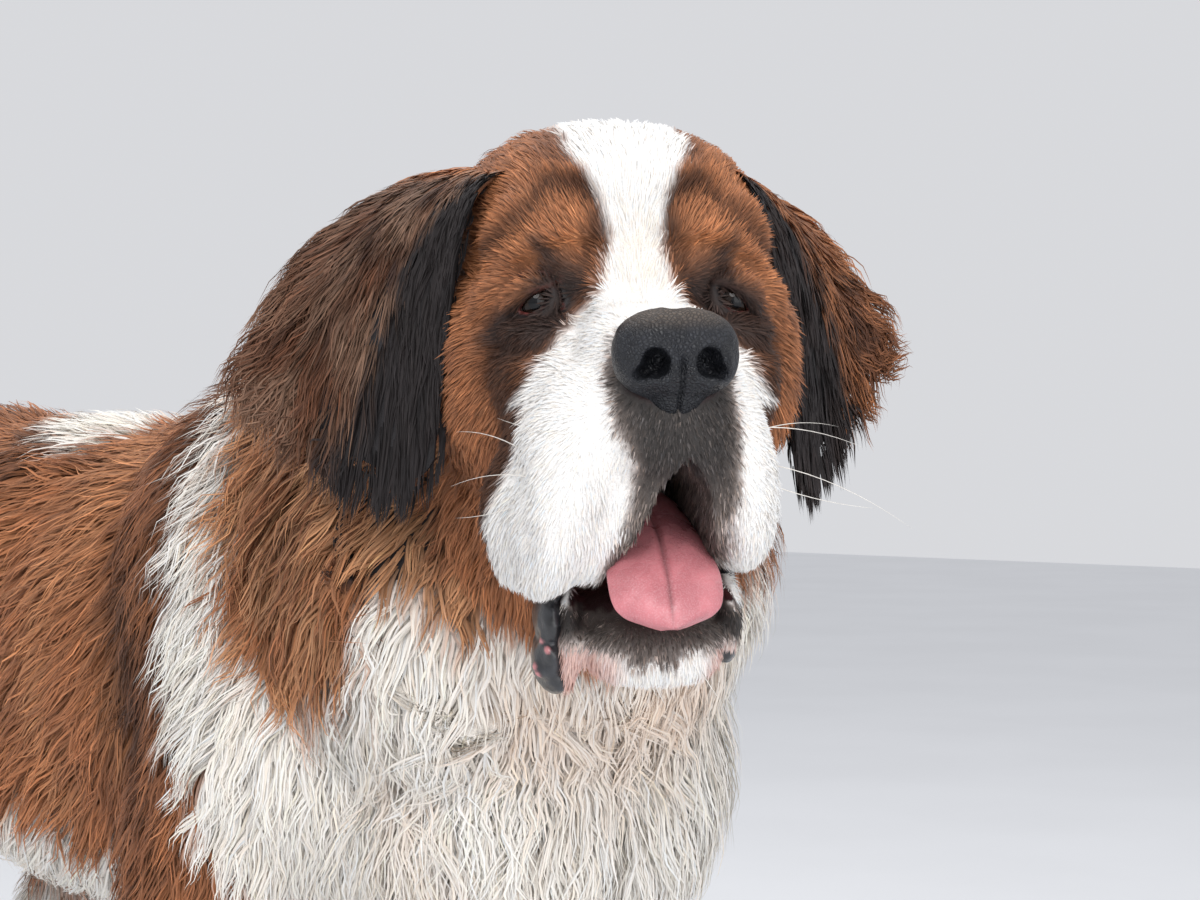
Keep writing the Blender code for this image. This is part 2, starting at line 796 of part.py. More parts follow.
# Where the coat is long: length, width, thickness, lift and spacing of its locks

RUFF = (0.150, 0.070, 0.034, 0.027, 0.094)
BIB = (0.135, 0.066, 0.036, 0.029, 0.086)
FLANK = (0.130, 0.072, 0.018, 0.011, 0.200)
BREECHES = (0.135, 0.058, 0.030, 0.024, 0.090)
BELLY = (0.110, 0.056, 0.024, 0.020, 0.120)
FEATHER = (0.095, 0.040, 0.022, 0.016, 0.085)
BRUSH = (0.140, 0.052, 0.028, 0.026, 0.092)


def coat_at(spot):
    """The coat's measures at a spot of the body, or None where it is short."""
    x, y, z = spot
    at, way = HEAD_PLANE
    if (spot - at).dot(way) > -0.030 or z < 0.115:
        return None
    if y > 0.500:
        return BRUSH if z > 0.24 else None
    if y > 0.360 and 0.300 < z < 0.620 and abs(x) > 0.030:
        return BREECHES
    if z < 0.400:
        if abs(x) < 0.060 or z > 0.360:
            return BELLY if -0.30 < y < 0.22 else None
        foreleg = y < 0.0
        behind_it = y > (-0.205 if foreleg else 0.425)
        return FEATHER if behind_it and z > (0.13 if foreleg else 0.17) else None
    if y < -0.330 and z < 0.560:
        return BIB
    at, way = NECK_PLANE
    if (spot - at).dot(way) > -0.060 or y < -0.330:
        return RUFF
    return FLANK


def piece_at(spot):
    """A word for the piece that a spot of the body belongs to."""
    sides = [(spot - at).dot(way) > 0 for at, way in (HEAD_PLANE, NECK_PLANE, LOIN_PLANE, TAIL_PLANE, STIFLE_PLANE)]
    for _, side in SIDES:
        for planes in (foreleg_planes(side), hindleg_planes(side)):
            sides.append(all((spot - at).dot(way) > 0 for at, way in planes))
    return tuple(sides)


def body_locks(body):
    surface = Surface(body)
    guides = lie_guides()
    draw = random.Random(SEED)
    wanted = []
    for spot, normal in surface.spots(9000, draw):
        coat = coat_at(spot)
        if coat:
            wanted.append((spot, normal, coat))
    kept = []
    for spot, normal, coat in wanted:
        if all((spot - other).length > (coat[4] + room[4]) / 2 for other, _, room in kept):
            kept.append((spot, normal, coat))
    return [
        lock("lock %d" % k, surface, guides, spot, normal, coat, draw)
        for k, (spot, normal, coat) in enumerate(kept)
    ]


EAR_LOCKS = [
    ((0.22, 0.66), (0.52, 1.18)),
    ((0.42, 0.64), (0.74, 1.18)),
    ((0.58, 0.74), (0.90, 1.24)),
    ((0.62, 0.40), (0.98, 0.72)),
    ((0.78, 0.72), (1.10, 1.12)),
    ((0.72, 0.14), (1.08, 0.32)),
]


def ear_locks(side):
    """Locks over the outer face of an ear that pass its rear and lower edge as a fringe."""
    found = []
    for k, (start, end) in enumerate(EAR_LOCKS):
        centres, outs = [], []
        for step in range(LOCK_STEPS + 1):
            share = step / LOCK_STEPS
            down = start[0] + (end[0] - start[0]) * share
            back = start[1] + (end[1] - start[1]) * share ** 1.3
            spot = ear_spot(side, down, back)
            over = ear_out(side, down, back)
            centres.append(HEAD @ (spot + over * (-0.004 if step == 0 else 0.008 + 0.004 * share)))
            outs.append(HEAD.to_3x3() @ over)
        bm = bmesh.new()
        lock_shell(bm, centres, outs, 0.040, 0.014)
        found.append(place("ear lock %d" % k, mesh_of(bm, "ear lock")))
    return found


# Planes that the body is parted along: a point on each and the way that it faces

HEAD_PLANE = (HEAD @ Vector((0, 0.088, 0.060)), HEAD.to_3x3() @ Vector((0, -0.955, 0.295)))
NECK_PLANE = (Vector((-0.010, -0.345, 0.650)), Vector((-0.18, -0.80, 0.56)).normalized())
LOIN_PLANE = (Vector((0, 0.080, 0)), Vector((0, 1, 0)))
TAIL_PLANE = (Vector((0, 0.512, 0.620)), Vector((0, 0.985, 0.17)).normalized())
STIFLE_PLANE = (Vector((0, 0.330, 0.320)), Vector((0, 0.57, -0.82)).normalized())
FLOOR = (Vector((0, 0, 0)), Vector((0, 0, 1)))
ANKLE = (Vector((0, 0, ANKLE_HEIGHT)), Vector((0, 0, 1)))


def beyond(plane, gap=GAP):
    """The side that the plane faces, half a gap away from it."""
    at, way = plane
    return at + way * gap / 2, -way


def behind(plane, gap=GAP):
    at, way = plane
    return at - way * gap / 2, way


def region(name, sides):
    """A convex block that is bounded by these planes, each given with the way out of it."""
    bm = bmesh.new()
    bmesh.ops.create_cube(bm, size=6.0)
    for at, out in sides:
        everything = bm.verts[:] + bm.edges[:] + bm.faces[:]
        cut = bmesh.ops.bisect_plane(
            bm, geom=everything, dist=0.0000001, plane_co=at, plane_no=out, clear_outer=True
        )
        rim = [e for e in cut["geom_cut"] if isinstance(e, bmesh.types.BMEdge)]
        bmesh.ops.contextual_create(bm, geom=rim)
    return place(name, mesh_of(bm, name))


def foreleg_planes(side):
    """The planes round a foreleg: inner face, sloping top, front and back."""
    return [
        (Vector((side * 0.066, 0, 0)), Vector((side, 0, 0))),
        (Vector((side * 0.066, 0, 0.405)), Vector((side * 0.55, 0, -0.835))),
        (Vector((0, -0.330, 0)), Vector((0, 1, 0))),
        (Vector((0, -0.120, 0)), Vector((0, -1, 0))),
    ]


def hindleg_planes(side):
    return [
        (Vector((side * 0.005, 0, 0)), Vector((side, 0, 0))),
        (Vector((0, 0, 0.468)), Vector((side * 0.70, 0, -0.714))),
        (Vector((0, 0.130, 0.500)), Vector((0, 0.97, -0.24))),
    ]


def parted(whole, name, sides, cutters=(), solver="MANIFOLD"):
    """The piece of the whole inside the planes, less the cutters."""
    piece = copy_of(whole, name)
    combined(piece, [region(name + " region", sides)], "INTERSECT", solver)
    if cutters:
        combined(piece, list(cutters), "DIFFERENCE", solver)
    return keep_largest(piece)


def paw_object(name, at, wide, stops):
    """One foot, finer than the rest, cut flat at the sole and at the joint above."""
    bm = bmesh.new()
    paw_forms(bm, at, wide)
    limb(bm, stops[-2:], balls=7, flat=0.9)
    whole = fused(name + " whole", mesh_of(bm, name), PAW_VOXEL, PAW_ROUNDS, PAW_FACES)
    claws = []
    for number, step in enumerate(TOE_STEPS, 1):
        claws.append(claw_object("claw_%s_%d" % (name, number), toe_at(at, wide, step), wide))
    cutters = [swollen(claw, claw.name + " room") for claw in claws]
    paw = parted(whole, name, [beyond(FLOOR, 0), behind(ANKLE)], cutters)
    discard(whole)
    return [paw, *claws]


def body_pieces(body):
    legs = []
    for word, side in SIDES:
        sides = [beyond(plane) for plane in foreleg_planes(side)]
        legs.append(parted(body, "foreleg_" + word, sides + [beyond(ANKLE)]))
        sides = [beyond(plane) for plane in hindleg_planes(side)] + [behind(TAIL_PLANE)]
        legs.append(parted(body, "thigh_" + word, sides + [behind(STIFLE_PLANE)]))
        legs.append(parted(body, "hindleg_" + word, sides + [beyond(STIFLE_PLANE), beyond(ANKLE)]))

    def leg_rooms(planes_of):
        return [
            region("leg room %d" % side, [beyond(plane, -GAP) for plane in planes_of(side)])
            for _, side in SIDES
        ]

    front = leg_rooms(foreleg_planes)
    back = leg_rooms(hindleg_planes)
    return [
        parted(body, "neck", [behind(HEAD_PLANE), beyond(NECK_PLANE)]),
        parted(body, "chest", [behind(NECK_PLANE), behind(LOIN_PLANE)], front),
        parted(body, "hindquarters", [beyond(LOIN_PLANE), behind(TAIL_PLANE)], back),
        parted(body, "tail", [beyond(TAIL_PLANE)]),
        *legs,
    ]


def head_pieces():
    head, skull = head_core()
    combined(head, [region("head region", [beyond(HEAD_PLANE)])], "INTERSECT")
    jaw = bmesh.new()
    jaw_forms(jaw)
    jaw = fused("lower_jaw", mesh_of(jaw, "lower_jaw"), 0.005, 4, 400)
    tongue = tongue_object()
    nose = nose_object()
    combined(jaw, [swollen(tongue, "tongue room")], "DIFFERENCE")
    keep_largest(jaw)
    rooms = [swollen(piece, piece.name + " room") for piece in (tongue, nose, jaw)]
    combined(head, rooms, "DIFFERENCE")
    keep_largest(head)
    ears, eyes = [], []
    for word, side in SIDES:
        ear = ear_object(word, side)
        combined(ear, ear_locks(side), "UNION", "MANIFOLD")
        keep_largest(ear)
        combined(ear, [copy_of(skull, "room for the head")], "DIFFERENCE")
        ears.append(keep_largest(ear))
        eyes.append(ball_object("eye_" + word, eye_at(side), EYE_RADIUS, 3))
    discard(skull)
    return head, jaw, tongue, nose, ears, eyes


def settle(pieces):
    """Moves every piece alike, so that the floor's middle under the dog is the origin."""
    corners = [obj.matrix_world @ v.co for obj in pieces for v in obj.data.vertices]
    low = Vector(min(c[k] for c in corners) for k in range(3))
    high = Vector(max(c[k] for c in corners) for k in range(3))
    shift = Vector((-(low.x + high.x) / 2, -(low.y + high.y) / 2, -low.z))
    for obj in pieces:
        obj.data.transform(Matrix.Translation(shift))
        obj.data.update()


PAINTS = {
    "coat brown": ((0.36, 0.13, 0.045), 0.85),
    "coat white": ((0.80, 0.74, 0.64), 0.85),
    "coat black": ((0.035, 0.028, 0.025), 0.80),
    "nose leather": ((0.022, 0.022, 0.026), 0.45),
    "tongue pink": ((0.72, 0.32, 0.34), 0.35),
    "eye dark": ((0.025, 0.014, 0.010), 0.08),
    "claw horn": ((0.14, 0.11, 0.09), 0.50),
}
PAINT_OF = {
    "head": "coat brown",
    "hindquarters": "coat brown",
    "ear_left": "coat black",
    "ear_right": "coat black",
    "nose": "nose leather",
    "tongue": "tongue pink",
    "eye_left": "eye dark",
    "eye_right": "eye dark",
}


def paint(pieces):
    made = {name: material(name, *look) for name, look in PAINTS.items()}
    for obj in pieces:
        name = "claw horn" if obj.name.startswith("claw") else PAINT_OF.get(obj.name, "coat white")
        obj.data.materials.clear()
        obj.data.materials.append(made[name])


def main():
    clear_scene()
    body = body_core()
    combined(body, body_locks(body), "UNION", "MANIFOLD")
    keep_largest(body)
    pieces = body_pieces(body)
    discard(body)
    head, jaw, tongue, nose, ears, eyes = head_pieces()
    neck = pieces[0]
    combined(neck, [swollen(piece, "room by the neck") for piece in (*ears, jaw)], "DIFFERENCE", "MANIFOLD")
    keep_largest(neck)
    for name, at, wide, stops in paws():
        pieces.extend(paw_object(name, at, wide, stops))
    pieces += [head, jaw, tongue, nose, *ears, *eyes]
    paint(pieces)
    settle(pieces)


if __name__ == "__main__":
    main()
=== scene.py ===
import json
import math
import time

import bmesh
import bpy
import numpy as np
from mathutils import Euler, Matrix, Vector
from mathutils.bvhtree import BVHTree
from mathutils.kdtree import KDTree

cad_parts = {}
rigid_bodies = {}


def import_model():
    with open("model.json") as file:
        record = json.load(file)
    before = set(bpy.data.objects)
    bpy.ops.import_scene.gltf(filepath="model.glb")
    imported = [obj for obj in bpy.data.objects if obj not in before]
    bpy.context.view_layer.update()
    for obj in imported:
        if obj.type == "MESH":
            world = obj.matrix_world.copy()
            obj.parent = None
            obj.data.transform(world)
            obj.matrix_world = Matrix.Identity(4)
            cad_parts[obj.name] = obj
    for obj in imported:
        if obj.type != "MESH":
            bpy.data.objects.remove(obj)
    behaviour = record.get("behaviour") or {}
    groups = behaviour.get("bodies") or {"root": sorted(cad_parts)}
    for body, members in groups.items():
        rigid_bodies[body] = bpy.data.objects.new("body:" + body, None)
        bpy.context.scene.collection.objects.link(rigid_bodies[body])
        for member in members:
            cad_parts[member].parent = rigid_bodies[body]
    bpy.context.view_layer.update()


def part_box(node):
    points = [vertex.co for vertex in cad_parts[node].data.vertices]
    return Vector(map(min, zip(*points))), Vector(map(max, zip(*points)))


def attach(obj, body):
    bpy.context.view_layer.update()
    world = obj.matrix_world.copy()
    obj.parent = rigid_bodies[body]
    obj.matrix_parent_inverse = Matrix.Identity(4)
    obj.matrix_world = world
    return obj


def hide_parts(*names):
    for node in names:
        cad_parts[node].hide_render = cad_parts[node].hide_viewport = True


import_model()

bl_info = {
    "name": "Saint Bernard dresser",
    "version": (1, 0, 0),
    "blender": (4, 5, 0),
    "location": "3D View > Sidebar > Saint Bernard",
    "description": "Dresses the solid Saint Bernard with skin, coat, eyes, nose, tongue and claws",
    "category": "Object",
}

SIDES = (("left", 1), ("right", -1))
LEGS = ("foreleg", "thigh", "hindleg")
FLESH = ["head", "lower_jaw", "neck", "chest", "hindquarters", "tail"]

# The dog's own sizes, in metres, with its nose towards -Y and its left side towards +X

WITHERS_HEIGHT = 0.785
CHEST_WIDTH = 0.350
CHEST_DEPTH = 0.400
LEG_SPREAD = 0.130
HIND_SPREAD = 0.130
SKULL_WIDTH = 0.200
EYE_RADIUS = 0.0155
EYE_SPREAD = 0.061
HEAD_AT = Vector((-0.092, -0.590, 0.845))
HEAD_TURN = math.radians(35.0)
HEAD_NOD = math.radians(4.5)
HEAD_LEAN = math.radians(-1.1)


def eye_at(side):
    return Vector((side * EYE_SPREAD, -0.085, -0.010))


def head_place():
    turn = Matrix.Rotation(-HEAD_TURN, 4, "Z")
    nod = Matrix.Rotation(HEAD_NOD, 4, "X")
    lean = Matrix.Rotation(HEAD_LEAN, 4, "Y")
    place = Matrix.Translation(HEAD_AT) @ turn @ nod @ lean
    low, high = (Vector(corner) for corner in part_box("eye_left"))
    settled = (low + high) / 2 - place @ eye_at(1)
    return Matrix.Translation(settled), Matrix.Translation(settled) @ place


DOG, HEAD = head_place()


def carried(points, place):
    """An array of points, carried by a matrix."""
    matrix = np.array(place)
    return points @ matrix[:3, :3].T + matrix[:3, 3]


def in_head(points):
    return carried(points, HEAD.inverted())


def in_dog(points):
    return carried(points, DOG.inverted())


def step(edge0, edge1, values):
    """A smooth rise from 0 at one edge to 1 at the other."""
    t = np.clip((values - edge0) / (edge1 - edge0), 0.0, 1.0)
    return t * t * (3 - 2 * t)


def noise(points, size, seed=0):
    """Smooth lumps of about this size, from -1 to 1, at each point."""
    q = points / size + seed * 7.31
    cell = np.floor(q).astype(np.int64)
    f = q - cell
    f = f * f * (3 - 2 * f)
    total = np.zeros(len(points))
    for corner in range(8):
        c = np.array([corner & 1, corner >> 1 & 1, corner >> 2 & 1])
        at = cell + c
        n = at[:, 0] * 73856093 ^ at[:, 1] * 19349663 ^ at[:, 2] * 83492791 ^ (seed * 40503 + 977)
        n = (n ^ (n >> 13)) * 1274126177 & 0x7FFFFFFF
        value = ((n ^ (n >> 15)) & 0xFFFF) / 32767.5 - 1
        total += value * np.prod(np.where(c, f, 1 - f), axis=1)
    return total


def unit(vectors):
    return vectors / np.maximum(np.linalg.norm(vectors, axis=-1, keepdims=True), 1e-9)


# Meshes


def chosen(obj):
    """Deselects everything and makes the object the active one."""
    if bpy.context.mode != "OBJECT":
        bpy.ops.object.mode_set(mode="OBJECT")
    for other in bpy.context.view_layer.objects:
        other.select_set(False)
    obj.select_set(True)
    bpy.context.view_layer.objects.active = obj
    return obj


def applied(obj, kind, **settings):
    chosen(obj)
    modifier = obj.modifiers.new(kind.title(), kind)
    for word, value in settings.items():
        setattr(modifier, word, value)
    bpy.ops.object.modifier_apply(modifier=modifier.name)
    return obj


def joined_by_boolean(obj, others, operation, solver="MANIFOLD"):
    tools = bpy.data.collections.new("tools")
    bpy.context.scene.collection.children.link(tools)
    for piece in (obj, *others):
        applied(piece, "TRIANGULATE")
    for other in others:
        for home in list(other.users_collection):
            home.objects.unlink(other)
        tools.objects.link(other)
    applied(obj, "BOOLEAN", operation=operation, solver=solver, operand_type="COLLECTION", collection=tools)
    for other in list(others):
        bpy.data.objects.remove(other)
    bpy.data.collections.remove(tools)
    if not len(obj.data.polygons):
        raise RuntimeError(obj.name + " lost its faces in a Boolean")
    return obj


def linked(name, mesh):
    obj = bpy.data.objects.new(name, mesh)
    bpy.context.scene.collection.objects.link(obj)
    return obj


def mesh_from(name, points, faces):
    mesh = bpy.data.meshes.new(name)
    mesh.from_pydata([tuple(p) for p in points], [], [tuple(int(k) for k in f) for f in faces])
    mesh.update()
    return linked(name, mesh)


def points_of(obj, kind="co"):
    values = np.empty(len(obj.data.vertices) * 3, np.float32)
    obj.data.vertices.foreach_get(kind, values)
    return values.reshape(-1, 3).astype(np.float64)


def set_points(obj, points):
    obj.data.vertices.foreach_set("co", points.astype(np.float32).ravel())
    obj.data.update()


def corners_of(obj):
    """The corner points of every triangle, as an array of index triples."""
    obj.data.calc_loop_triangles()
    faces = np.empty(len(obj.data.loop_triangles) * 3, np.int32)
    obj.data.loop_triangles.foreach_get("vertices", faces)
    return faces.reshape(-1, 3)


def softened(obj, rounds, factor=0.5):
    return applied(obj, "SMOOTH", factor=factor, iterations=rounds)


def smooth_faces(obj):
    obj.data.polygons.foreach_set("use_smooth", np.ones(len(obj.data.polygons), bool))


class Flesh:
    """Ball forms, copied from one ball, that a voxel skin then fuses."""

    def __init__(self, rounds=3):
        bpy.ops.object.select_all(action="DESELECT")
        bpy.ops.mesh.primitive_ico_sphere_add(subdivisions=rounds, radius=1.0)
        ball = bpy.context.active_object
        self.points, self.faces = points_of(ball), corners_of(ball)
        bpy.data.objects.remove(ball)
        self.all_points, self.all_faces, self.count = [], [], 0

    def ball(self, at, size, tilt=(0, 0, 0), square=2.0, place=None):
        reach = (np.abs(self.points) ** square).sum(1) ** (1.0 / square)
        local = self.points / reach[:, None]
        turn = Euler([math.radians(a) for a in tilt])
        matrix = (place or DOG) @ Matrix.LocRotScale(Vector(at), turn, Vector(size))
        self.all_points.append(carried(local, matrix))
        self.all_faces.append(self.faces + self.count)
        self.count += len(local)

    def limb(self, stops, balls=12, flat=1.0, place=None):
        for k in range(balls):
            at, radius = along(stops, k / (balls - 1))
            self.ball(at, (radius * flat, radius, radius), place=place)

    def fused(self, name, voxel, rounds):
        obj = mesh_from(name, np.concatenate(self.all_points), np.concatenate(self.all_faces))
        applied(obj, "REMESH", mode="VOXEL", voxel_size=voxel)
        return softened(obj, rounds)


def along(stops, share):
    """A point and a radius on the smooth line through (point, radius) stops."""
    spans = len(stops) - 1
    span = min(int(share * spans), spans - 1)
    t = share * spans - span
    a, b, c, d = (Vector((*stops[max(0, min(spans, span + k))][0], stops[max(0, min(spans, span + k))][1])) for k in (-1, 0, 1, 2))
    mid = (b * 2 + (c - a) * t + (a * 2 - b * 5 + c * 4 - d) * t**2 + (b * 3 - a - c * 3 + d) * t**3) / 2
    return Vector(mid[:3]), mid[3]


# The forms of the body


def torso_forms(flesh):
    half, top, deep = CHEST_WIDTH / 2, WITHERS_HEIGHT, CHEST_DEPTH / 2
    flesh.ball((0, -0.080, top - 0.026 - deep), (half, 0.285, deep), square=2.2)
    flesh.ball((0, -0.300, 0.550), (half * 0.92, 0.165, 0.180))
    flesh.ball((0.012, -0.405, 0.480), (half * 0.80, 0.115, 0.160))
    flesh.ball((0.046, -0.428, 0.525), (0.098, 0.098, 0.175))
    flesh.ball((0, -0.170, top - 0.095), (half * 0.60, 0.200, 0.092))
    flesh.ball((0, 0.120, 0.600), (half * 0.90, 0.290, 0.166), square=2.2)
    flesh.ball((0, 0.310, 0.648), (half * 0.80, 0.180, 0.130))
    flesh.ball((0, 0.425, 0.610), (half * 0.58, 0.060, 0.090))
    for side in (-1, 1):
        flesh.ball((side * 0.125, -0.240, 0.590), (0.072, 0.115, 0.180), tilt=(-14, 0, 0))
        flesh.ball((side * 0.106, 0.315, 0.550), (0.082, 0.155, 0.185), tilt=(12, 0, 0))
        flesh.ball((side * 0.128, 0.225, 0.460), (0.055, 0.088, 0.115), tilt=(20, 0, 0))
        flesh.ball((side * 0.072, 0.010, 0.472), (0.094, 0.225, 0.100))


def neck_forms(flesh):
    undo = DOG.inverted() @ HEAD
    nape, throat = undo @ Vector((0, 0.085, -0.010)), undo @ Vector((0, 0.035, -0.110))
    flesh.limb([((0, -0.150, 0.632), 0.152), ((-0.010, -0.330, 0.722), 0.152), (nape, 0.108)])
    flesh.limb([((0, -0.270, 0.530), 0.150), ((-0.006, -0.440, 0.632), 0.142), (throat, 0.094)])
    for side in (-1, 1):
        flesh.ball((side * 0.085 - 0.020, -0.395, 0.640), (0.085, 0.120, 0.150), tilt=(-30, 0, 0))


def foreleg_stops(side):
    x, ahead = side * LEG_SPREAD, -0.012 if side > 0 else 0.010
    return [
        ((x * 0.98, -0.275, 0.520), 0.086),
        ((x * 1.02, -0.215, 0.420), 0.078),
        ((x * 1.02, -0.228 + ahead * 0.5, 0.290), 0.064),
        ((x, -0.244 + ahead, 0.170), 0.054),
        ((x, -0.260 + ahead, 0.075), 0.051),
    ]


def hindleg_stops(side):
    x, back = side * HIND_SPREAD, 0.030 if side > 0 else -0.015
    return [
        ((x * 0.88, 0.320, 0.560), 0.110),
        ((x * 1.02, 0.262 + back * 0.3, 0.420), 0.092),
        ((x * 1.02, 0.345 + back * 0.7, 0.300), 0.066),
        ((x, 0.408 + back, 0.215), 0.050),
        ((x, 0.404 + back, 0.120), 0.045),
        ((x, 0.394 + back, 0.070), 0.046),
    ]


TAIL_STOPS = [
    ((0, 0.420, 0.655), 0.058),
    ((0.002, 0.530, 0.610), 0.056),
    ((0.006, 0.606, 0.480), 0.054),
    ((0.010, 0.622, 0.345), 0.048),
    ((0.012, 0.662, 0.215), 0.022),
]
TOE_STEPS = (-1.5, -0.5, 0.5, 1.5)


def paws():
    """Each paw's middle on the floor, its half width and its leg's stops."""
    for _, side in SIDES:
        for stops, wide in ((foreleg_stops(side), 0.054), (hindleg_stops(side), 0.049)):
            (x, y, _), _ = stops[-1]
            yield Vector((x, y - 0.030, 0.0)), wide, stops


def toe_at(at, wide, way):
    return at + Vector((way * wide * 0.50, -wide * (0.60 if abs(way) > 1 else 0.84), 0.020))


def paw_forms(flesh, at, wide):
    flesh.ball(at + Vector((0, 0.012, 0.028)), (wide * 0.92, wide * 1.05, 0.040))
    flesh.ball(at + Vector((0, 0.022, 0.056)), (wide * 0.78, wide * 0.82, 0.036))
    for way in TOE_STEPS:
        flesh.ball(toe_at(at, wide, way), (wide * 0.275, wide * 0.52, 0.0265))


def skull_forms(flesh):
    half = SKULL_WIDTH / 2
    flesh.ball((0, 0.008, 0.030), (half, 0.102, 0.074), square=2.2, place=HEAD)
    flesh.ball((0, -0.046, 0.034), (half * 0.72, 0.056, 0.056), place=HEAD)
    flesh.ball((0, 0.060, -0.030), (half * 1.02, 0.080, 0.092), place=HEAD)
    flesh.ball((0, -0.072, -0.004), (0.052, 0.036, 0.034), place=HEAD)
    for side in (-1, 1):
        flesh.ball((side * 0.050, -0.056, 0.022), (0.044, 0.042, 0.040), place=HEAD)
        flesh.ball((side * 0.064, -0.060, -0.014), (0.038, 0.036, 0.042), place=HEAD)
        flesh.ball((side * 0.074, -0.012, -0.050), (0.044, 0.076, 0.080), place=HEAD)
        flesh.ball((side * 0.058, -0.084, -0.056), (0.038, 0.048, 0.044), place=HEAD)


def muzzle_forms(flesh):
    flesh.ball((0, -0.132, -0.056), (0.047, 0.070, 0.046), square=3.0, place=HEAD)
    flesh.ball((0, -0.184, -0.078), (0.042, 0.032, 0.036), square=2.4, place=HEAD)
    flesh.ball((0, -0.160, -0.118), (0.042, 0.040, 0.052), place=HEAD)
    for side in (-1, 1):
        x = side * (0.054 if side < 0 else 0.035)
        low = -0.120 if side < 0 else -0.106
        tilt = (0, side * -15, side * 6)
        flesh.ball((x, -0.150, low + 0.006), (0.034, 0.054, 0.076), tilt, place=HEAD)
        flesh.ball((x * 1.10, -0.104, low + 0.008), (0.036, 0.062, 0.078), tilt, place=HEAD)
        flesh.ball((side * 0.040, -0.152, low - 0.018), (0.020, 0.036, 0.042), place=HEAD)


def throat_forms(flesh):
    flesh.ball((0, 0.010, -0.125), (0.076, 0.085, 0.085), place=HEAD)


def jaw_forms(flesh):
    flesh.ball((0, -0.136, -0.218), (0.043, 0.040, 0.024), square=2.6, place=HEAD)
    flesh.ball((0, -0.070, -0.205), (0.050, 0.078, 0.032), square=2.4, place=HEAD)
    flesh.ball((0, 0.000, -0.185), (0.056, 0.070, 0.040), place=HEAD)
    for side in (-1, 1):
        droop = 0.010 if side < 0 else 0.0
        flesh.ball((side * 0.050, -0.112, -0.202 - droop), (0.011, 0.030, 0.028 + droop), place=HEAD)


# The coat's guides: place, way the hair lies, length, inset of the skin, lift of the tips, wave

BODY_COAT = [
    ((0.000, -0.330, 0.850), (0, 1.0, -0.20), 0.075, 0.014, 0.034, 0.3),
    ((0.130, -0.330, 0.740), (0.15, 0.35, -0.90), 0.095, 0.014, 0.038, 0.8),
    ((0.000, -0.430, 0.640), (0, -0.15, -1.0), 0.100, 0.014, 0.042, 0.9),
    ((0.080, -0.420, 0.560), (0.10, -0.05, -1.0), 0.105, 0.015, 0.044, 1.0),
    ((0.000, -0.470, 0.480), (0, 0.00, -1.0), 0.105, 0.015, 0.044, 1.0),
    ((0.000, -0.400, 0.325), (0, 0.10, -1.0), 0.070, 0.034, 0.058, 0.4),
    ((0.055, -0.430, 0.355), (0.05, 0.05, -1.0), 0.080, 0.030, 0.052, 0.5),
    ((0.000, -0.320, 0.365), (0, 0.40, -0.9), 0.065, 0.022, 0.046, 0.4),
    ((0.160, -0.250, 0.620), (0.05, 0.35, -0.95), 0.070, 0.008, 0.020, 0.5),
    ((0.165, -0.230, 0.480), (0.03, 0.30, -0.95), 0.058, 0.007, 0.018, 0.4),
    ((0.160, -0.050, 0.580), (0.02, 0.75, -0.65), 0.065, 0.007, 0.018, 0.4),
    ((0.000, -0.150, 0.800), (0, 1.0, -0.10), 0.060, 0.007, 0.018, 0.3),
    ((0.110, 0.050, 0.740), (0.35, 0.85, -0.40), 0.055, 0.006, 0.015, 0.3),
    ((0.000, 0.200, 0.770), (0, 1.0, -0.10), 0.055, 0.006, 0.015, 0.3),
    ((0.000, 0.050, 0.410), (0, 0.75, -0.65), 0.075, 0.010, 0.030, 0.5),
    ((0.150, 0.180, 0.560), (0, 0.65, -0.75), 0.060, 0.007, 0.018, 0.3),
    ((0.110, 0.400, 0.700), (0.15, 0.60, -0.80), 0.060, 0.007, 0.018, 0.3),
    ((0.150, 0.350, 0.500), (0.02, 0.45, -0.90), 0.060, 0.007, 0.018, 0.3),
    ((0.100, 0.470, 0.500), (0, 0.50, -0.90), 0.100, 0.012, 0.040, 0.6),
    ((0.120, -0.290, 0.380), (0, 0.10, -1.0), 0.030, 0.005, 0.010, 0.2),
    ((0.120, -0.130, 0.360), (0, 0.55, -0.85), 0.065, 0.008, 0.028, 0.5),
    ((0.125, -0.300, 0.200), (0, 0.00, -1.0), 0.022, 0.004, 0.008, 0.1),
    ((0.125, -0.190, 0.200), (0, 0.55, -0.85), 0.042, 0.005, 0.018, 0.3),
    ((0.125, -0.290, 0.070), (0, -0.20, -1.0), 0.018, 0.003, 0.007, 0.1),
    ((0.125, 0.300, 0.330), (0, -0.10, -1.0), 0.028, 0.005, 0.010, 0.1),
    ((0.125, 0.430, 0.330), (0, 0.45, -0.90), 0.055, 0.007, 0.024, 0.3),
    ((0.125, 0.370, 0.150), (0, -0.05, -1.0), 0.020, 0.004, 0.008, 0.1),
    ((0.125, 0.450, 0.150), (0, 0.30, -0.95), 0.030, 0.004, 0.012, 0.2),
    ((0.125, -0.330, 0.020), (0, -0.80, -0.6), 0.012, 0.0025, 0.005, 0.0),
    ((0.125, 0.330, 0.020), (0, -0.80, -0.6), 0.012, 0.0025, 0.005, 0.0),
    ((0.000, 0.530, 0.650), (0, 0.90, -0.50), 0.090, 0.010, 0.032, 0.3),
    ((0.000, 0.650, 0.480), (0, 0.20, -1.0), 0.105, 0.012, 0.040, 0.4),
    ((0.000, 0.560, 0.440), (0, -0.10, -1.0), 0.105, 0.012, 0.038, 0.4),
    ((0.000, 0.670, 0.300), (0, 0.35, -1.0), 0.095, 0.010, 0.034, 0.4),
    ((0.000, 0.680, 0.200), (0, 0.30, -1.0), 0.030, 0.006, 0.022, 0.2),
]
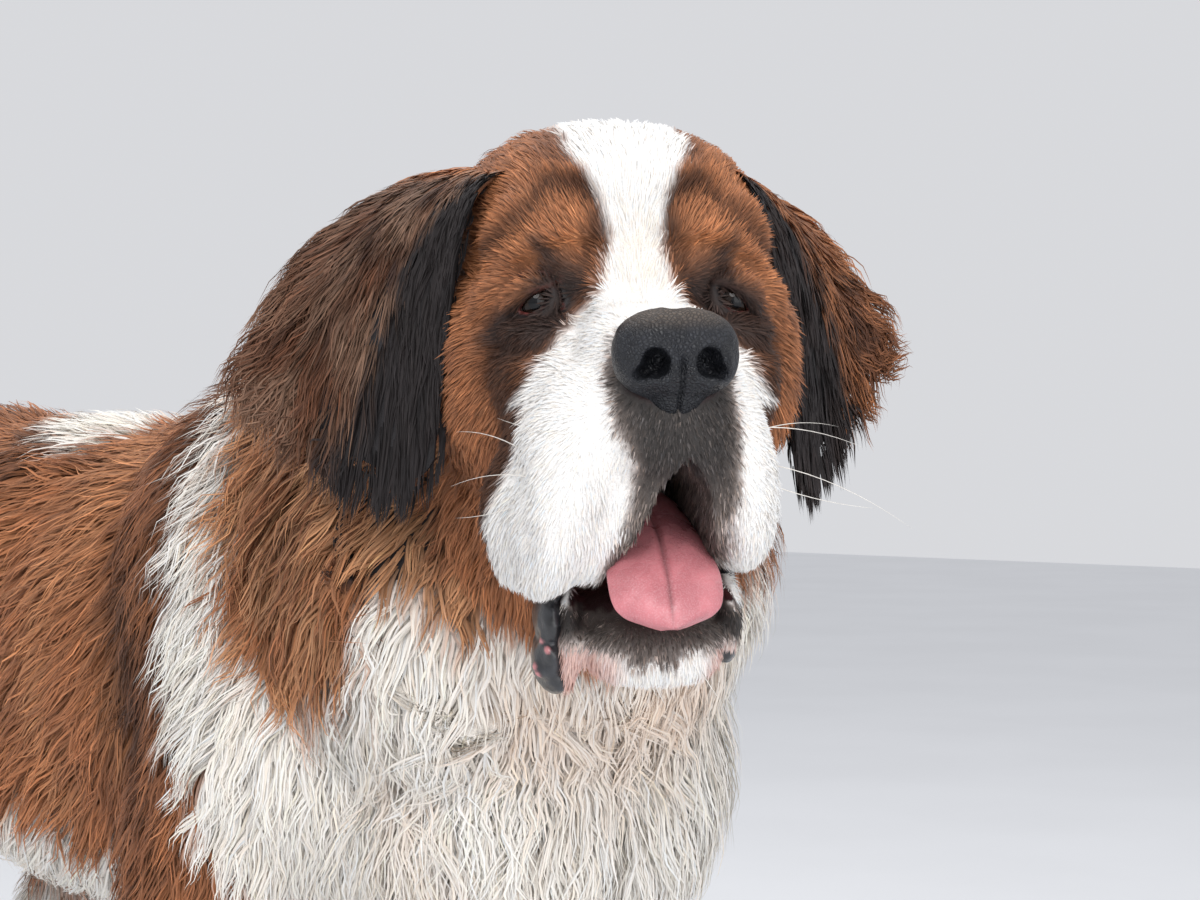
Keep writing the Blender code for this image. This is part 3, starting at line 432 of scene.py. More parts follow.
HEAD_COAT = [
    ((0.000, -0.150, -0.012), (0, 0.90, 0.35), 0.008, 0.0020, 0.0026, 0.0),
    ((0.000, -0.105, 0.000), (0, 0.55, 0.85), 0.009, 0.0020, 0.0030, 0.0),
    ((0.000, -0.090, 0.050), (0, 0.35, 0.95), 0.012, 0.0030, 0.0040, 0.0),
    ((0.045, -0.085, 0.045), (0.45, 0.25, 0.90), 0.012, 0.0030, 0.0045, 0.0),
    ((0.060, -0.096, 0.012), (0.65, 0.20, 0.60), 0.008, 0.0020, 0.0032, 0.0),
    ((0.086, -0.072, -0.008), (0.70, 0.80, -0.15), 0.009, 0.0025, 0.0036, 0.0),
    ((0.062, -0.104, -0.032), (0.40, 0.40, -0.85), 0.008, 0.0020, 0.0030, 0.0),
    ((0.034, -0.110, -0.018), (0.05, 0.55, -0.70), 0.007, 0.0020, 0.0026, 0.0),
    ((0.000, 0.000, 0.104), (0, 1.00, 0.10), 0.018, 0.0050, 0.0085, 0.1),
    ((0.055, -0.040, 0.094), (0.50, 0.75, 0.35), 0.016, 0.0045, 0.0075, 0.1),
    ((0.090, -0.045, 0.030), (0.35, 0.90, -0.05), 0.014, 0.0040, 0.0060, 0.0),
    ((0.098, -0.050, -0.030), (0.20, 0.70, -0.65), 0.013, 0.0035, 0.0055, 0.0),
    ((0.118, -0.010, -0.050), (0.15, 0.60, -0.80), 0.022, 0.0060, 0.0120, 0.1),
    ((0.100, -0.010, -0.115), (0.05, 0.40, -0.92), 0.032, 0.0070, 0.0160, 0.3),
    ((0.045, -0.180, -0.050), (0.35, 0.85, -0.30), 0.007, 0.0020, 0.0026, 0.0),
    ((0.075, -0.165, -0.110), (0.20, 0.50, -0.85), 0.008, 0.0022, 0.0026, 0.0),
    ((0.090, -0.105, -0.140), (0.10, 0.40, -0.92), 0.010, 0.0028, 0.0032, 0.0),
    ((0.050, 0.045, 0.104), (0.70, 0.70, 0.20), 0.030, 0.0060, 0.0170, 0.6),
    ((0.020, -0.212, -0.085), (0.30, 0.10, -0.95), 0.006, 0.0015, 0.0022, 0.0),
    ((0.000, -0.168, -0.196), (0, -0.35, -0.93), 0.006, 0.0015, 0.0012, 0.0),
    ((0.040, -0.135, -0.196), (0.25, -0.10, -0.96), 0.006, 0.0015, 0.0012, 0.0),
    ((0.050, -0.090, -0.196), (0.15, 0.10, -0.98), 0.007, 0.0020, 0.0016, 0.0),
    ((0.000, -0.180, -0.228), (0, 0.35, -0.93), 0.009, 0.0025, 0.0024, 0.0),
    ((0.045, -0.110, -0.228), (0.05, 0.55, -0.83), 0.013, 0.0030, 0.0040, 0.1),
    ((0.000, -0.030, -0.228), (0, 0.45, -0.90), 0.045, 0.0080, 0.0200, 0.4),
    ((0.050, 0.095, 0.060), (0.1, 0.90, -0.45), 0.045, 0.0080, 0.0200, 0.3),
]


LEFT_ONLY = [
    ((0.100, 0.035, -0.110), (0.60, 0.10, -0.80), 0.055, 0.008, 0.030, 0.7),
    ((0.092, 0.050, -0.165), (0.45, 0.00, -0.90), 0.060, 0.008, 0.036, 0.7),
    ((0.090, -0.055, -0.125), (0.10, 0.40, -0.92), 0.015, 0.004, 0.005, 0.1),
]
HEAD_COAT += LEFT_ONLY


def guide_table():
    rows = []
    for table, place, near in ((BODY_COAT, DOG, 0.0015), (HEAD_COAT, HEAD, 0.0002)):
        turn = place.to_3x3()
        for at, way, *rest in table:
            for side in (1, -1) if abs(at[0]) > 0.001 and (at, way, *rest) not in LEFT_ONLY else (1,):
                spot = place @ Vector((at[0] * side, *at[1:]))
                lie = turn @ Vector((way[0] * side, *way[1:])).normalized()
                rows.append([*spot, *lie, *rest, near])
    return np.array(rows)


GUIDES = guide_table()


def coat_at(points):
    """The way of the hair, and its length, inset, lift and wave, blended from the guides."""
    found = np.empty((len(points), 7))
    for start in range(0, len(points), 20000):
        part = points[start:start + 20000]
        apart = ((part[:, None, :] - GUIDES[None, :, :3]) ** 2).sum(2)
        weight = (apart + GUIDES[:, 10]) ** -1.7
        weight /= weight.sum(1, keepdims=True)
        found[start:start + 20000] = weight @ GUIDES[:, 3:10]
    return found


def inside(a, b, corners, soft):
    """1 within the closed outline of (a, b) corners and 0 without, over a soft edge."""
    near = np.full(len(a), 1e9)
    odd = np.zeros(len(a), bool)
    for (x0, y0), (x1, y1) in zip(corners, corners[1:] + corners[:1]):
        dx, dy = x1 - x0, y1 - y0
        t = np.clip(((a - x0) * dx + (b - y0) * dy) / (dx * dx + dy * dy), 0, 1)
        near = np.minimum(near, (a - x0 - t * dx) ** 2 + (b - y0 - t * dy) ** 2)
        crosses = (y0 > b) != (y1 > b)
        odd ^= crosses & (a < x0 + (b - y0) * dx / (dy if dy else 1e-9))
    near = np.sqrt(near) * np.where(odd, 1, -1)
    return step(-soft, soft, near)


# Markings

BLAZE = [(-0.034, 0.140), (-0.036, 0.080), (-0.022, 0.047), (-0.017, 0.022), (-0.023, -0.002), (-0.050, -0.028), (-0.080, -0.070), (0.080, -0.070), (0.046, -0.028), (0.020, -0.002), (0.013, 0.022), (0.017, 0.047), (0.037, 0.080), (0.040, 0.140)]
BLAZE_END = [(-0.036, -0.080), (-0.034, 0.000), (-0.020, 0.045), (-0.004, 0.085), (0.010, 0.085), (0.024, 0.045), (0.040, 0.000), (0.040, -0.080)]
MUZZLE = [(-0.30, 0.030), (-0.104, 0.004), (-0.106, -0.010), (-0.119, -0.028), (-0.134, -0.058), (-0.140, -0.085), (-0.132, -0.118), (-0.112, -0.148), (-0.088, -0.178), (-0.060, -0.240), (-0.30, -0.300)]
NOSE_GRIZZLE = [(-0.028, -0.030), (-0.035, -0.052), (-0.031, -0.080), (-0.022, -0.102), (-0.022, -0.124), (-0.030, -0.150), (-0.040, -0.170), (-0.036, -0.185), (0.006, -0.118), (0.038, -0.185), (0.044, -0.165), (0.038, -0.140), (0.036, -0.110), (0.037, -0.080), (0.036, -0.052), (0.032, -0.032)]
BROW_BAND = [(0.095, 0.017), (0.057, 0.050), (0.044, 0.063), (0.0217, 0.060), (0.0136, 0.039), (0.0155, 0.0233), (0.031, -0.009), (0.039, -0.009), (0.030, 0.018), (0.0236, 0.043), (0.042, 0.052), (0.061, 0.0386), (0.0887, 0.014)]
EYE_DARK = [(0.061, 0.0276), (0.033, 0.0184), (0.030, -0.003), (0.042, -0.021), (0.0577, -0.0365), (0.0825, -0.0426), (0.092, -0.033), (0.0825, -0.015), (0.0577, 0.009)]
TEAR_DARK = [(-0.100, -0.020), (-0.078, -0.035), (-0.082, -0.090), (-0.074, -0.140), (-0.060, -0.190), (-0.100, -0.200), (-0.135, -0.120), (-0.143, -0.085), (-0.134, -0.058), (-0.116, -0.028)]
SADDLE = [(-0.240, 0.900), (-0.262, 0.765), (-0.258, 0.700), (-0.258, 0.657), (-0.238, 0.627), (-0.262, 0.570), (-0.284, 0.517), (-0.290, 0.414), (-0.262, 0.352), (-0.205, 0.368), (-0.150, 0.425), (0.000, 0.455), (0.140, 0.460), (0.215, 0.380), (0.275, 0.330), (0.340, 0.300), (0.395, 0.335), (0.430, 0.420), (0.470, 0.500), (0.560, 0.420), (0.700, 0.330), (0.80, 0.90)]
NECK_PATCH = [(-0.290, 0.960), (-0.292, 0.740), (-0.310, 0.650), (-0.316, 0.602), (-0.360, 0.580), (-0.400, 0.600), (-0.437, 0.590), (-0.450, 0.637), (-0.470, 0.650), (-0.505, 0.625), (-0.560, 0.660), (-0.620, 0.700), (-0.620, 0.960)]
BACK_PATCH = [(-0.085, 0.030), (-0.060, 0.110), (-0.010, 0.130), (0.040, 0.105), (0.055, 0.060), (0.020, 0.010), (-0.040, -0.005)]


def looks():
    return bpy.context.scene.saint_bernard_looks


def blend(colour, other, mask):
    return colour + (np.atleast_2d(other) - colour) * mask[:, None]


def head_share(dog):
    """1 on the head, 0 on the body, over the nape."""
    h = in_head(dog)
    return step(0.105, 0.080, h[:, 1] - 0.31 * (h[:, 2] - 0.06))


GRIZZLE = np.array([(0.00, 0.78, 0.72, 0.68), (0.22, 0.46, 0.40, 0.37), (0.48, 0.185, 0.150, 0.132), (1.00, 0.050, 0.043, 0.040)])


def grizzled(grey):
    """White mixed with black hair, from pale at 0 to nearly black at 1."""
    return np.stack([np.interp(grey, GRIZZLE[:, 0], GRIZZLE[:, k]) for k in (1, 2, 3)], 1)


def markings(points):
    """The coat's colour at each point of the skin, and how evenly mixed with black it is."""
    look = looks()
    dog, h = in_dog(points), in_head(points)
    wave = np.stack([noise(points, 0.030, k) for k in (1, 2, 3)], 1)
    fine = np.stack([noise(points, 0.007, k) for k in (4, 5, 6)], 1)
    on_head = step(0.100, 0.084, h[:, 1] - 0.31 * (h[:, 2] - 0.06))
    h = h + wave * 0.003 + fine * 0.0012
    d = dog + wave * 0.012 + fine * 0.003
    x, y, z = h.T
    right = x < 0
    # the head
    orange, brown = np.array(look.orange), np.array(look.brown)
    white, black = np.array(look.white), np.array(look.black)
    face = np.tile(orange, (len(points), 1))
    streak = noise(h * np.array([1.0, 0.5, 0.35]), 0.006, 8) * 0.5 + noise(h, 0.022, 9) * 0.5
    face = blend(face, brown, np.clip(0.30 + 0.55 * streak, 0, 1))
    ahead = step(-0.030, -0.060, y)
    mirror = np.abs(x + 0.002)
    band = inside(mirror, z, BROW_BAND, 0.006) * ahead
    face = blend(face, brown * 0.30, band * 0.92)
    upper = step(0.058, 0.078, z) * step(0.060, 0.040, mirror) * step(0.0, -0.04, y)
    face = blend(face, brown * 0.7, upper * 0.7)
    dark = inside(mirror, z, EYE_DARK, 0.006) * ahead
    face = blend(face, black, dark * 0.93)
    tear = inside(y, z, TEAR_DARK, 0.010) * step(0.045, 0.062, mirror)
    face = blend(face, brown * 0.26, tear * 0.90)
    gold = np.exp(-((mirror - 0.036) ** 2 + (z - 0.022) ** 2) / 0.00012) * ahead
    face = blend(face, orange * 1.25, np.clip(gold, 0, 1) * 0.6)
    top = np.where(y < -0.02, inside(x, z, BLAZE, 0.004), inside(x, y, BLAZE_END, 0.006) * step(0.05, 0.08, z))
    snout = inside(y, z, MUZZLE, 0.005) * (1 - step(0.038, 0.048, np.abs(x)) * step(-0.050, -0.037, z))
    pale = np.maximum(top, snout)
    face = blend(face, white, pale)
    warm = np.clip(np.exp(-(x**2 / 0.0002 + (z - 0.012) ** 2 / 0.0006)), 0, 1) * ahead
    face = blend(face, look.cream, warm * 0.7 * pale)
    grizzle = inside(x, z, NOSE_GRIZZLE, 0.006) * step(-0.165, -0.185, y)
    lips = lip_share(h) * step(-0.02, -0.06, y) * step(0.042, 0.030, np.abs(x)) * step(-0.185, -0.165, z)
    grizzle *= 1 - 0.55 * step(-0.095, -0.150, z) - 0.25 * step(0.020, 0.034, np.abs(x - 0.004)) * step(-0.05, -0.09, z)
    jaw = np.maximum(step(-0.190, -0.198, z), step(0.050, 0.044, np.abs(x)) * step(-0.172, -0.182, z)) * step(-0.01, -0.05, y)
    chin = jaw * step(-0.219, -0.206, z) * step(-0.03, -0.08, y)
    chin_spots = np.clip(noise(h, 0.010, 12) * 1.6 + 0.2, 0, 1) * step(-0.228, -0.216, z) * step(0.028, 0.016, np.abs(x)) * jaw
    corner = jaw * step(0.036, 0.044, np.abs(x)) * step(-0.216, -0.206, z) * step(-0.03, -0.06, y)
    grey = np.clip(np.maximum.reduce([grizzle, lips * 0.45, chin * 0.72, chin_spots * 0.6, corner]), 0, 1)
    flushed = jaw * step(-0.070, -0.095, y) * np.clip(step(0.020, 0.036, np.abs(x)) * step(-0.198, -0.210, z) + step(-0.232, -0.240, z) * 0.6, 0, 1)
    face = blend(face, white, jaw * step(0.5, 0.2, grey))
    face = blend(face, (0.66, 0.34, 0.27), np.clip(flushed * (0.75 + 0.45 * streak), 0, 1) * step(0.6, 0.2, grey))
    face = blend(face, grizzled(grey), np.clip(grey * 5, 0, 1))
    # the body
    a, b, c = d.T
    coat = np.tile(white, (len(points), 1))
    cream = np.clip(0.25 + 0.5 * noise(points, 0.050, 21), 0, 1)
    coat = blend(coat * np.array([1.03, 1.0, 0.96]), look.cream, cream)
    peach = np.clip(noise(points, 0.080, 22) * 1.2 + 0.20, 0, 1) * step(-0.30, -0.36, b) * step(0.72, 0.66, c)
    coat = blend(coat, look.peach, peach * 0.60)
    saddle = inside(b, c, SADDLE, 0.006) * np.where(c < 0.60, step(0.055, 0.085, np.abs(a)), 1.0)
    tail_end = step(0.33, 0.28, c) * step(0.50, 0.54, b)
    saddle = np.maximum(saddle, step(0.47, 0.50, b) * step(0.30, 0.36, c)) * (1 - tail_end)
    back_patch = inside(a, b, BACK_PATCH, 0.008) * step(0.68, 0.72, c)
    neck = inside(b, c, NECK_PATCH, 0.008) * np.where(a > 0, step(0.66, 0.69, c), 1.0) * step(0.030, 0.060, np.abs(a + 0.02 + 0.25 * (c - 0.6)) + step(0.80, 0.84, c))
    rust = np.tile(orange, (len(points), 1))
    grain = noise(d * np.array([1.0, 1.0, 0.22]), 0.016, 23) * 0.6 + noise(d, 0.09, 24) * 0.6
    rust = blend(rust, brown, np.clip(0.35 + 0.75 * grain, 0, 1))
    shade = np.clip(noise(d * np.array([0.6, 1.0, 0.30]), 0.055, 25) * 1.7 + 0.20, 0, 1)
    shade *= np.maximum(step(-0.02, -0.20, b) * step(0.44, 0.56, c), step(0.62, 0.74, c) * 0.65)
    rust = blend(rust, brown * 0.24, shade * 0.88 * (1 - neck))
    glow = np.clip(noise(d * np.array([0.6, 1.0, 0.35]), 0.050, 26) * 1.5 - 0.15, 0, 1)
    rust = blend(rust, (0.52, 0.235, 0.105), glow * 0.65 * (1 - shade * 0.7))
    rust = blend(rust, (0.56, 0.290, 0.145), np.clip(noise(d, 0.022, 27) * 1.2 + 0.40, 0, 1) * neck * step(-0.24, -0.30, b) * 0.75)
    mask = np.clip(np.maximum(saddle, neck) * (1 - back_patch), 0, 1)
    coat = blend(coat, rust, mask)
    return blend(coat, face, on_head), np.clip(grey * on_head, 0, 1)


LIPS = [
    ((-0.0570, -0.112, -0.178), (0.0080, 0.022, 0.017)),
    ((-0.0595, -0.110, -0.202), (0.0095, 0.024, 0.020)),
    ((-0.0595, -0.109, -0.226), (0.0102, 0.024, 0.018)),
    ((-0.0560, -0.110, -0.238), (0.0105, 0.020, 0.011)),
    ((0.0500, -0.114, -0.222), (0.0060, 0.012, 0.010)),
    ((0.0530, -0.076, -0.184), (0.0085, 0.036, 0.021)),
    ((-0.0570, -0.074, -0.186), (0.0085, 0.036, 0.022)),
]
MOUTH = [(0.0, -0.098), (0.0145, -0.118), (0.0190, -0.136), (0.0260, -0.156), (0.0340, -0.173), (0.048, -0.186), (0.060, -0.216), (0.070, -0.300)]


def leant(x, z):
    """The mouth's own x: its top leans to the dog's left."""
    return x - 0.008 * step(-0.180, -0.110, z)


def lip_share(h):
    """1 at the edge of the upper lips, falling to 0 about 14 mm away."""
    x, z = np.abs(leant(h[:, 0], h[:, 2])), h[:, 2]
    near = np.full(len(h), 1.0)
    for (x0, z0), (x1, z1) in zip(MOUTH, MOUTH[1:]):
        dx, dz = x1 - x0, z1 - z0
        t = np.clip(((x - x0) * dx + (z - z0) * dz) / (dx * dx + dz * dz), 0, 1)
        near = np.minimum(near, np.hypot(x - x0 - t * dx, z - z0 - t * dz))
    return step(0.012, 0.003, near)


# Skin


def mouth_cutter():
    outline = [(-x, z) for x, z in reversed(MOUTH)] + MOUTH[1:]
    points = [HEAD @ Vector((x - leant(0.0, z), y, z)) for y in (-0.300, -0.050) for x, z in outline]
    n = len(outline)
    faces = [list(range(n)), list(range(2 * n - 1, n - 1, -1))]
    faces += [[k, n + k, n + (k + 1) % n, (k + 1) % n] for k in range(n)]
    obj = mesh_from("mouth cutter", points, faces)
    chosen(obj)
    bpy.ops.object.mode_set(mode="EDIT")
    bpy.ops.mesh.select_all(action="SELECT")
    bpy.ops.mesh.normals_make_consistent(inside=False)
    bpy.ops.object.mode_set(mode="OBJECT")
    return obj


def clipped(obj, at, out):
    """Cuts away what lies on the outer side of the plane and closes the cut."""
    chosen(obj)
    bpy.ops.object.mode_set(mode="EDIT")
    bpy.ops.mesh.select_all(action="SELECT")
    bpy.ops.mesh.bisect(plane_co=at, plane_no=out, use_fill=True, clear_outer=True)
    bpy.ops.object.mode_set(mode="OBJECT")
    return obj


def tube(stops, corners, place, name, flat=1.0):
    """A closed tube through (point, radius) stops."""
    points = [Vector(p) for p, _ in stops]
    spots, faces = [], []
    for k, (_, radius) in enumerate(stops):
        ahead = (points[min(k + 1, len(points) - 1)] - points[max(k - 1, 0)]).normalized()
        across = ahead.cross(Vector((0, 0, 1))).normalized()
        over = across.cross(ahead)
        for c in range(corners):
            angle = math.tau * c / corners
            spots.append(place @ (points[k] + (across * math.cos(angle) + over * math.sin(angle) * flat) * radius))
    for k in range(len(stops) - 1):
        for c in range(corners):
            d = (c + 1) % corners
            faces.append((k * corners + c, k * corners + d, (k + 1) * corners + d, (k + 1) * corners + c))
    faces.append(tuple(range(corners))[::-1])
    faces.append(tuple((len(stops) - 1) * corners + c for c in range(corners)))
    obj = mesh_from(name, spots, faces)
    chosen(obj)
    bpy.ops.object.mode_set(mode="EDIT")
    bpy.ops.mesh.select_all(action="SELECT")
    bpy.ops.mesh.normals_make_consistent(inside=False)
    bpy.ops.object.mode_set(mode="OBJECT")
    return obj


LID_SLANT = math.radians(40)
SLIT_SHIFT = {1: -0.0015, -1: 0.0040}


def lid(side, rise, thick, wide, name):
    """One eyelid: a tube over the eyeball that slants from its inner to its outer corner."""
    stops = []
    reach = EYE_RADIUS + thick * 0.25
    for k in range(17):
        share = k / 16
        swing = math.radians(wide * (2 * share - 1))
        lift = math.sin(math.pi * share)
        run, off = math.sin(swing) * reach, rise * lift + math.copysign(0.0004, rise)
        u = run * math.cos(LID_SLANT) + off * math.sin(LID_SLANT) + SLIT_SHIFT[side]
        v = off * math.cos(LID_SLANT) - run * math.sin(LID_SLANT)
        y = -math.sqrt(max(reach**2 - u * u - v * v, 0.0))
        stops.append((eye_at(side) + Vector((u * side, y, v)), thick * (0.50 + 0.50 * lift)))
    return tube(stops, 12, HEAD, name)


# Folds of the face, seen from in front: a line of (x, z), its half width, and how far it sinks or rises

FOLDS = [
    ([(0.034, 0.022), (0.058, 0.018), (0.081, 0.000), (0.094, -0.024)], 0.0050, -0.0034),
    ([(0.022, 0.030), (0.046, 0.029), (0.072, 0.015), (0.092, -0.006)], 0.0070, 0.0034),
    ([(0.014, 0.043), (0.042, 0.056), (0.072, 0.037), (0.096, 0.009)], 0.0070, -0.0026),
    ([(0.020, 0.062), (0.050, 0.070), (0.080, 0.050)], 0.0090, 0.0022),
    ([(0.016, 0.055), (0.013, 0.030), (0.016, 0.005)], 0.0060, -0.0020),
    ([(0.052, -0.034), (0.072, -0.040), (0.090, -0.034)], 0.0050, -0.0030),
    ([(0.050, -0.024), (0.070, -0.029), (0.086, -0.026)], 0.0045, 0.0018),
    ([(0.092, -0.028), (0.094, -0.070), (0.088, -0.120), (0.086, -0.165)], 0.0075, -0.0046),
    ([(0.106, -0.020), (0.109, -0.080), (0.104, -0.140)], 0.0100, 0.0034),
    ([(0.062, -0.050), (0.076, -0.085), (0.082, -0.130)], 0.0090, 0.0020),
    ([(0.036, -0.050), (0.046, -0.075), (0.042, -0.110)], 0.0070, -0.0014),
]


def line_near(points, line):
    near = np.full(len(points), 1e9)
    line = np.array(line)
    for a, b in zip(line, line[1:]):
        d = b - a
        t = np.clip((points - a) @ d / (d @ d), 0, 1)
        near = np.minimum(near, np.linalg.norm(points - a - t[:, None] * d, axis=1))
    return near


def folded(points, normals):
    h = in_head(points)
    push = np.zeros(len(points))
    front = step(-0.015, -0.045, h[:, 1])
    seen = np.stack([np.abs(h[:, 0]), h[:, 2]], 1)
    for line, half, rise in FOLDS:
        push += rise * front * np.exp(-((line_near(seen, line) / half) ** 2))
    return points + normals * push[:, None]


def head_skin():
    flesh = Flesh(4)
    for forms in (skull_forms, muzzle_forms, throat_forms, neck_forms):
        forms(flesh)
    head = flesh.fused("skin", 0.0028, 30)
    clipped(head, HEAD @ Vector((0, 0.150, 0.060)), HEAD.to_3x3() @ Vector((0, 0.955, -0.295)))
    joined_by_boolean(head, [mouth_cutter()], "DIFFERENCE")
    applied(head, "REMESH", mode="VOXEL", voxel_size=0.0025)
    softened(head, 3)
    points, normals = points_of(head), points_of(head, "normal")
    points = folded(points, normals)
    set_points(head, points)
    normals = points_of(head, "normal")
    set_points(head, points - normals * coat_at(points)[:, 4:5])
    lids = []
    for _, side in SIDES:
        lids.append(lid(side, 0.0094, 0.0068, 62, "upper lid"))
        lids.append(lid(side, -0.0098, 0.0052, 58, "lower lid"))
    joined_by_boolean(head, lids, "UNION")
    sockets = Flesh(4)
    for _, side in SIDES:
        sockets.ball(eye_at(side), (EYE_RADIUS + 0.0004,) * 3, place=HEAD)
    socket = mesh_from("sockets", np.concatenate(sockets.all_points), np.concatenate(sockets.all_faces))
    joined_by_boolean(head, [socket], "DIFFERENCE")
    return head


def jaw_skin():
    flesh = Flesh(3)
    jaw_forms(flesh)
    jaw = flesh.fused("jaw", 0.0028, 14)
    points, normals = points_of(jaw), points_of(jaw, "normal")
    set_points(jaw, points - normals * 0.002)
    return jaw


def body_skin():
    flesh = Flesh(3)
    torso_forms(flesh)
    neck_forms(flesh)
    for _, side in SIDES:
        flesh.limb(foreleg_stops(side), balls=16, flat=0.92)
        flesh.limb(hindleg_stops(side), balls=18, flat=0.86)
    flesh.limb(TAIL_STOPS, balls=14)
    skull_forms(flesh)
    throat_forms(flesh)
    body = flesh.fused("body", 0.0068, 40)
    clipped(body, HEAD @ Vector((0, 0.060, 0.060)), HEAD.to_3x3() @ Vector((0, -0.955, 0.295)))
    clipped(body, DOG @ Vector((0, 0, 0.100)), Vector((0, 0, -1)))
    points, normals = points_of(body), points_of(body, "normal")
    inset = coat_at(points)[:, 4:5]
    set_points(body, points - normals * inset)
    return body


def paw_skins():
    made = []
    for at, wide, stops in paws():
        flesh = Flesh(3)
        paw_forms(flesh, at, wide)
        flesh.limb(stops[-2:], balls=7, flat=0.9)
        paw = flesh.fused("paw", 0.0040, 5)
        points, normals = points_of(paw), points_of(paw, "normal")
        points -= normals * (0.0015 + 0.0022 * step(0.03, 0.12, in_dog(points)[:, 2])[:, None])
        points[:, 2] = np.maximum(points[:, 2], points[:, 2] * 0.02 + 0.0004)
        set_points(paw, points)
        made.append(paw)
    return made


# Each ear: where its front edge passes the temple, the (x, z) that its rear edge bends by, its front tip and its rear point

EAR_SHAPE = {
    1: (0.088, (0.158, 0.054), 0.112, (0.204, -0.046)),
    -1: (0.110, (0.172, 0.070), 0.116, (0.236, -0.068)),
}


def mix3(a, b, t):
    return np.asarray(a) + (np.asarray(b) - np.asarray(a)) * t[:, None]


def ear_spot(side, down, back):
    """Points of the ear leather: down from 0 at its root to 1 at its tip, back from front edge."""
    front, bend, toe, rear = EAR_SHAPE[side]
    root = mix3((0.070, -0.036, 0.066), (0.072, 0.056, 0.074), back)
    over = mix3((front, -0.060, 0.080), (bend[0], 0.092, bend[1]), back)
    tip = mix3((toe, -0.036, -0.146), (rear[0], 0.070, rear[1]), back)
    corner = np.sin(math.pi * np.clip(back, 0, 1))
    tip = tip + np.array([-0.004, -0.004, -0.020]) * corner[:, None]
    tip[:, 2] += 0.030 * np.maximum(0.0, 1 - np.clip(back, 0, 1) / 0.18) ** 2
    t = down[:, None]
    spot = root * (1 - t) ** 2 + over * (2 * t * (1 - t)) + tip * t**2
    crown = corner * 0.014 * np.sin(math.pi * np.clip(down * 1.1, 0, 1))
    spot = spot + np.array([0.5, -0.85, 0.0]) * crown[:, None]
    return spot * np.array([side, 1, 1])


def ear_out(side, down, back):
    """The way out of an ear's outer face."""
    step_down = ear_spot(side, down + 0.02, back) - ear_spot(side, down - 0.02, back)
    step_back = ear_spot(side, down, back + 0.02) - ear_spot(side, down, back - 0.02)
    out = unit(np.cross(step_back, step_down))
    facing = out[:, 0] * side + out[:, 2] * 0.8 - out[:, 1] * 0.5
    return out * np.where(facing > 0, 1, -1)[:, None]


def ear_skin(side):
    """The ear leather: a folded sheet, thicker in the middle."""
    rows, cols = 34, 26
    down, back = (g.ravel() for g in np.meshgrid(np.linspace(0, 0.955, rows), np.linspace(0.045, 0.97, cols), indexing="ij"))
    spot, out = ear_spot(side, down, back), ear_out(side, down, back)
    thick = 0.0046 * (1 - np.maximum(np.abs(back * 2 - 1) ** 4, down**6) * 0.7)
    outer, inner = spot + out * thick[:, None] * 0.6, spot - out * thick[:, None] * 0.4
    points = np.concatenate([outer, inner])
    n, faces = rows * cols, []
    for j in range(rows - 1):
        for k in range(cols - 1):
            a = j * cols + k
            faces.append((a, a + 1, a + cols + 1, a + cols))
            faces.append((n + a, n + a + cols, n + a + cols + 1, n + a + 1))
    rim = [k for k in range(cols)] + [j * cols + cols - 1 for j in range(1, rows)]
    rim += [(rows - 1) * cols + k for k in range(cols - 2, -1, -1)] + [j * cols for j in range(rows - 2, 0, -1)]
    for a, b in zip(rim, rim[1:] + rim[:1]):
        faces.append((a, n + a, n + b, b))
    obj = mesh_from("ear leather", carried(points, HEAD), faces)
    chosen(obj)
    bpy.ops.object.mode_set(mode="EDIT")
    bpy.ops.mesh.select_all(action="SELECT")
    bpy.ops.mesh.normals_make_consistent(inside=False)
    bpy.ops.object.mode_set(mode="OBJECT")
    return obj


# Hair


def ready_to_bake(obj):
    """Unwraps the skin by its own shape."""
    chosen(obj)
    obj.data.uv_layers.new(name="OFBake")
    bpy.ops.object.mode_set(mode="EDIT")
    bpy.ops.mesh.select_all(action="SELECT")
    bpy.ops.uv.smart_project(angle_limit=math.radians(66), island_margin=0.004)
    bpy.ops.object.mode_set(mode="OBJECT")


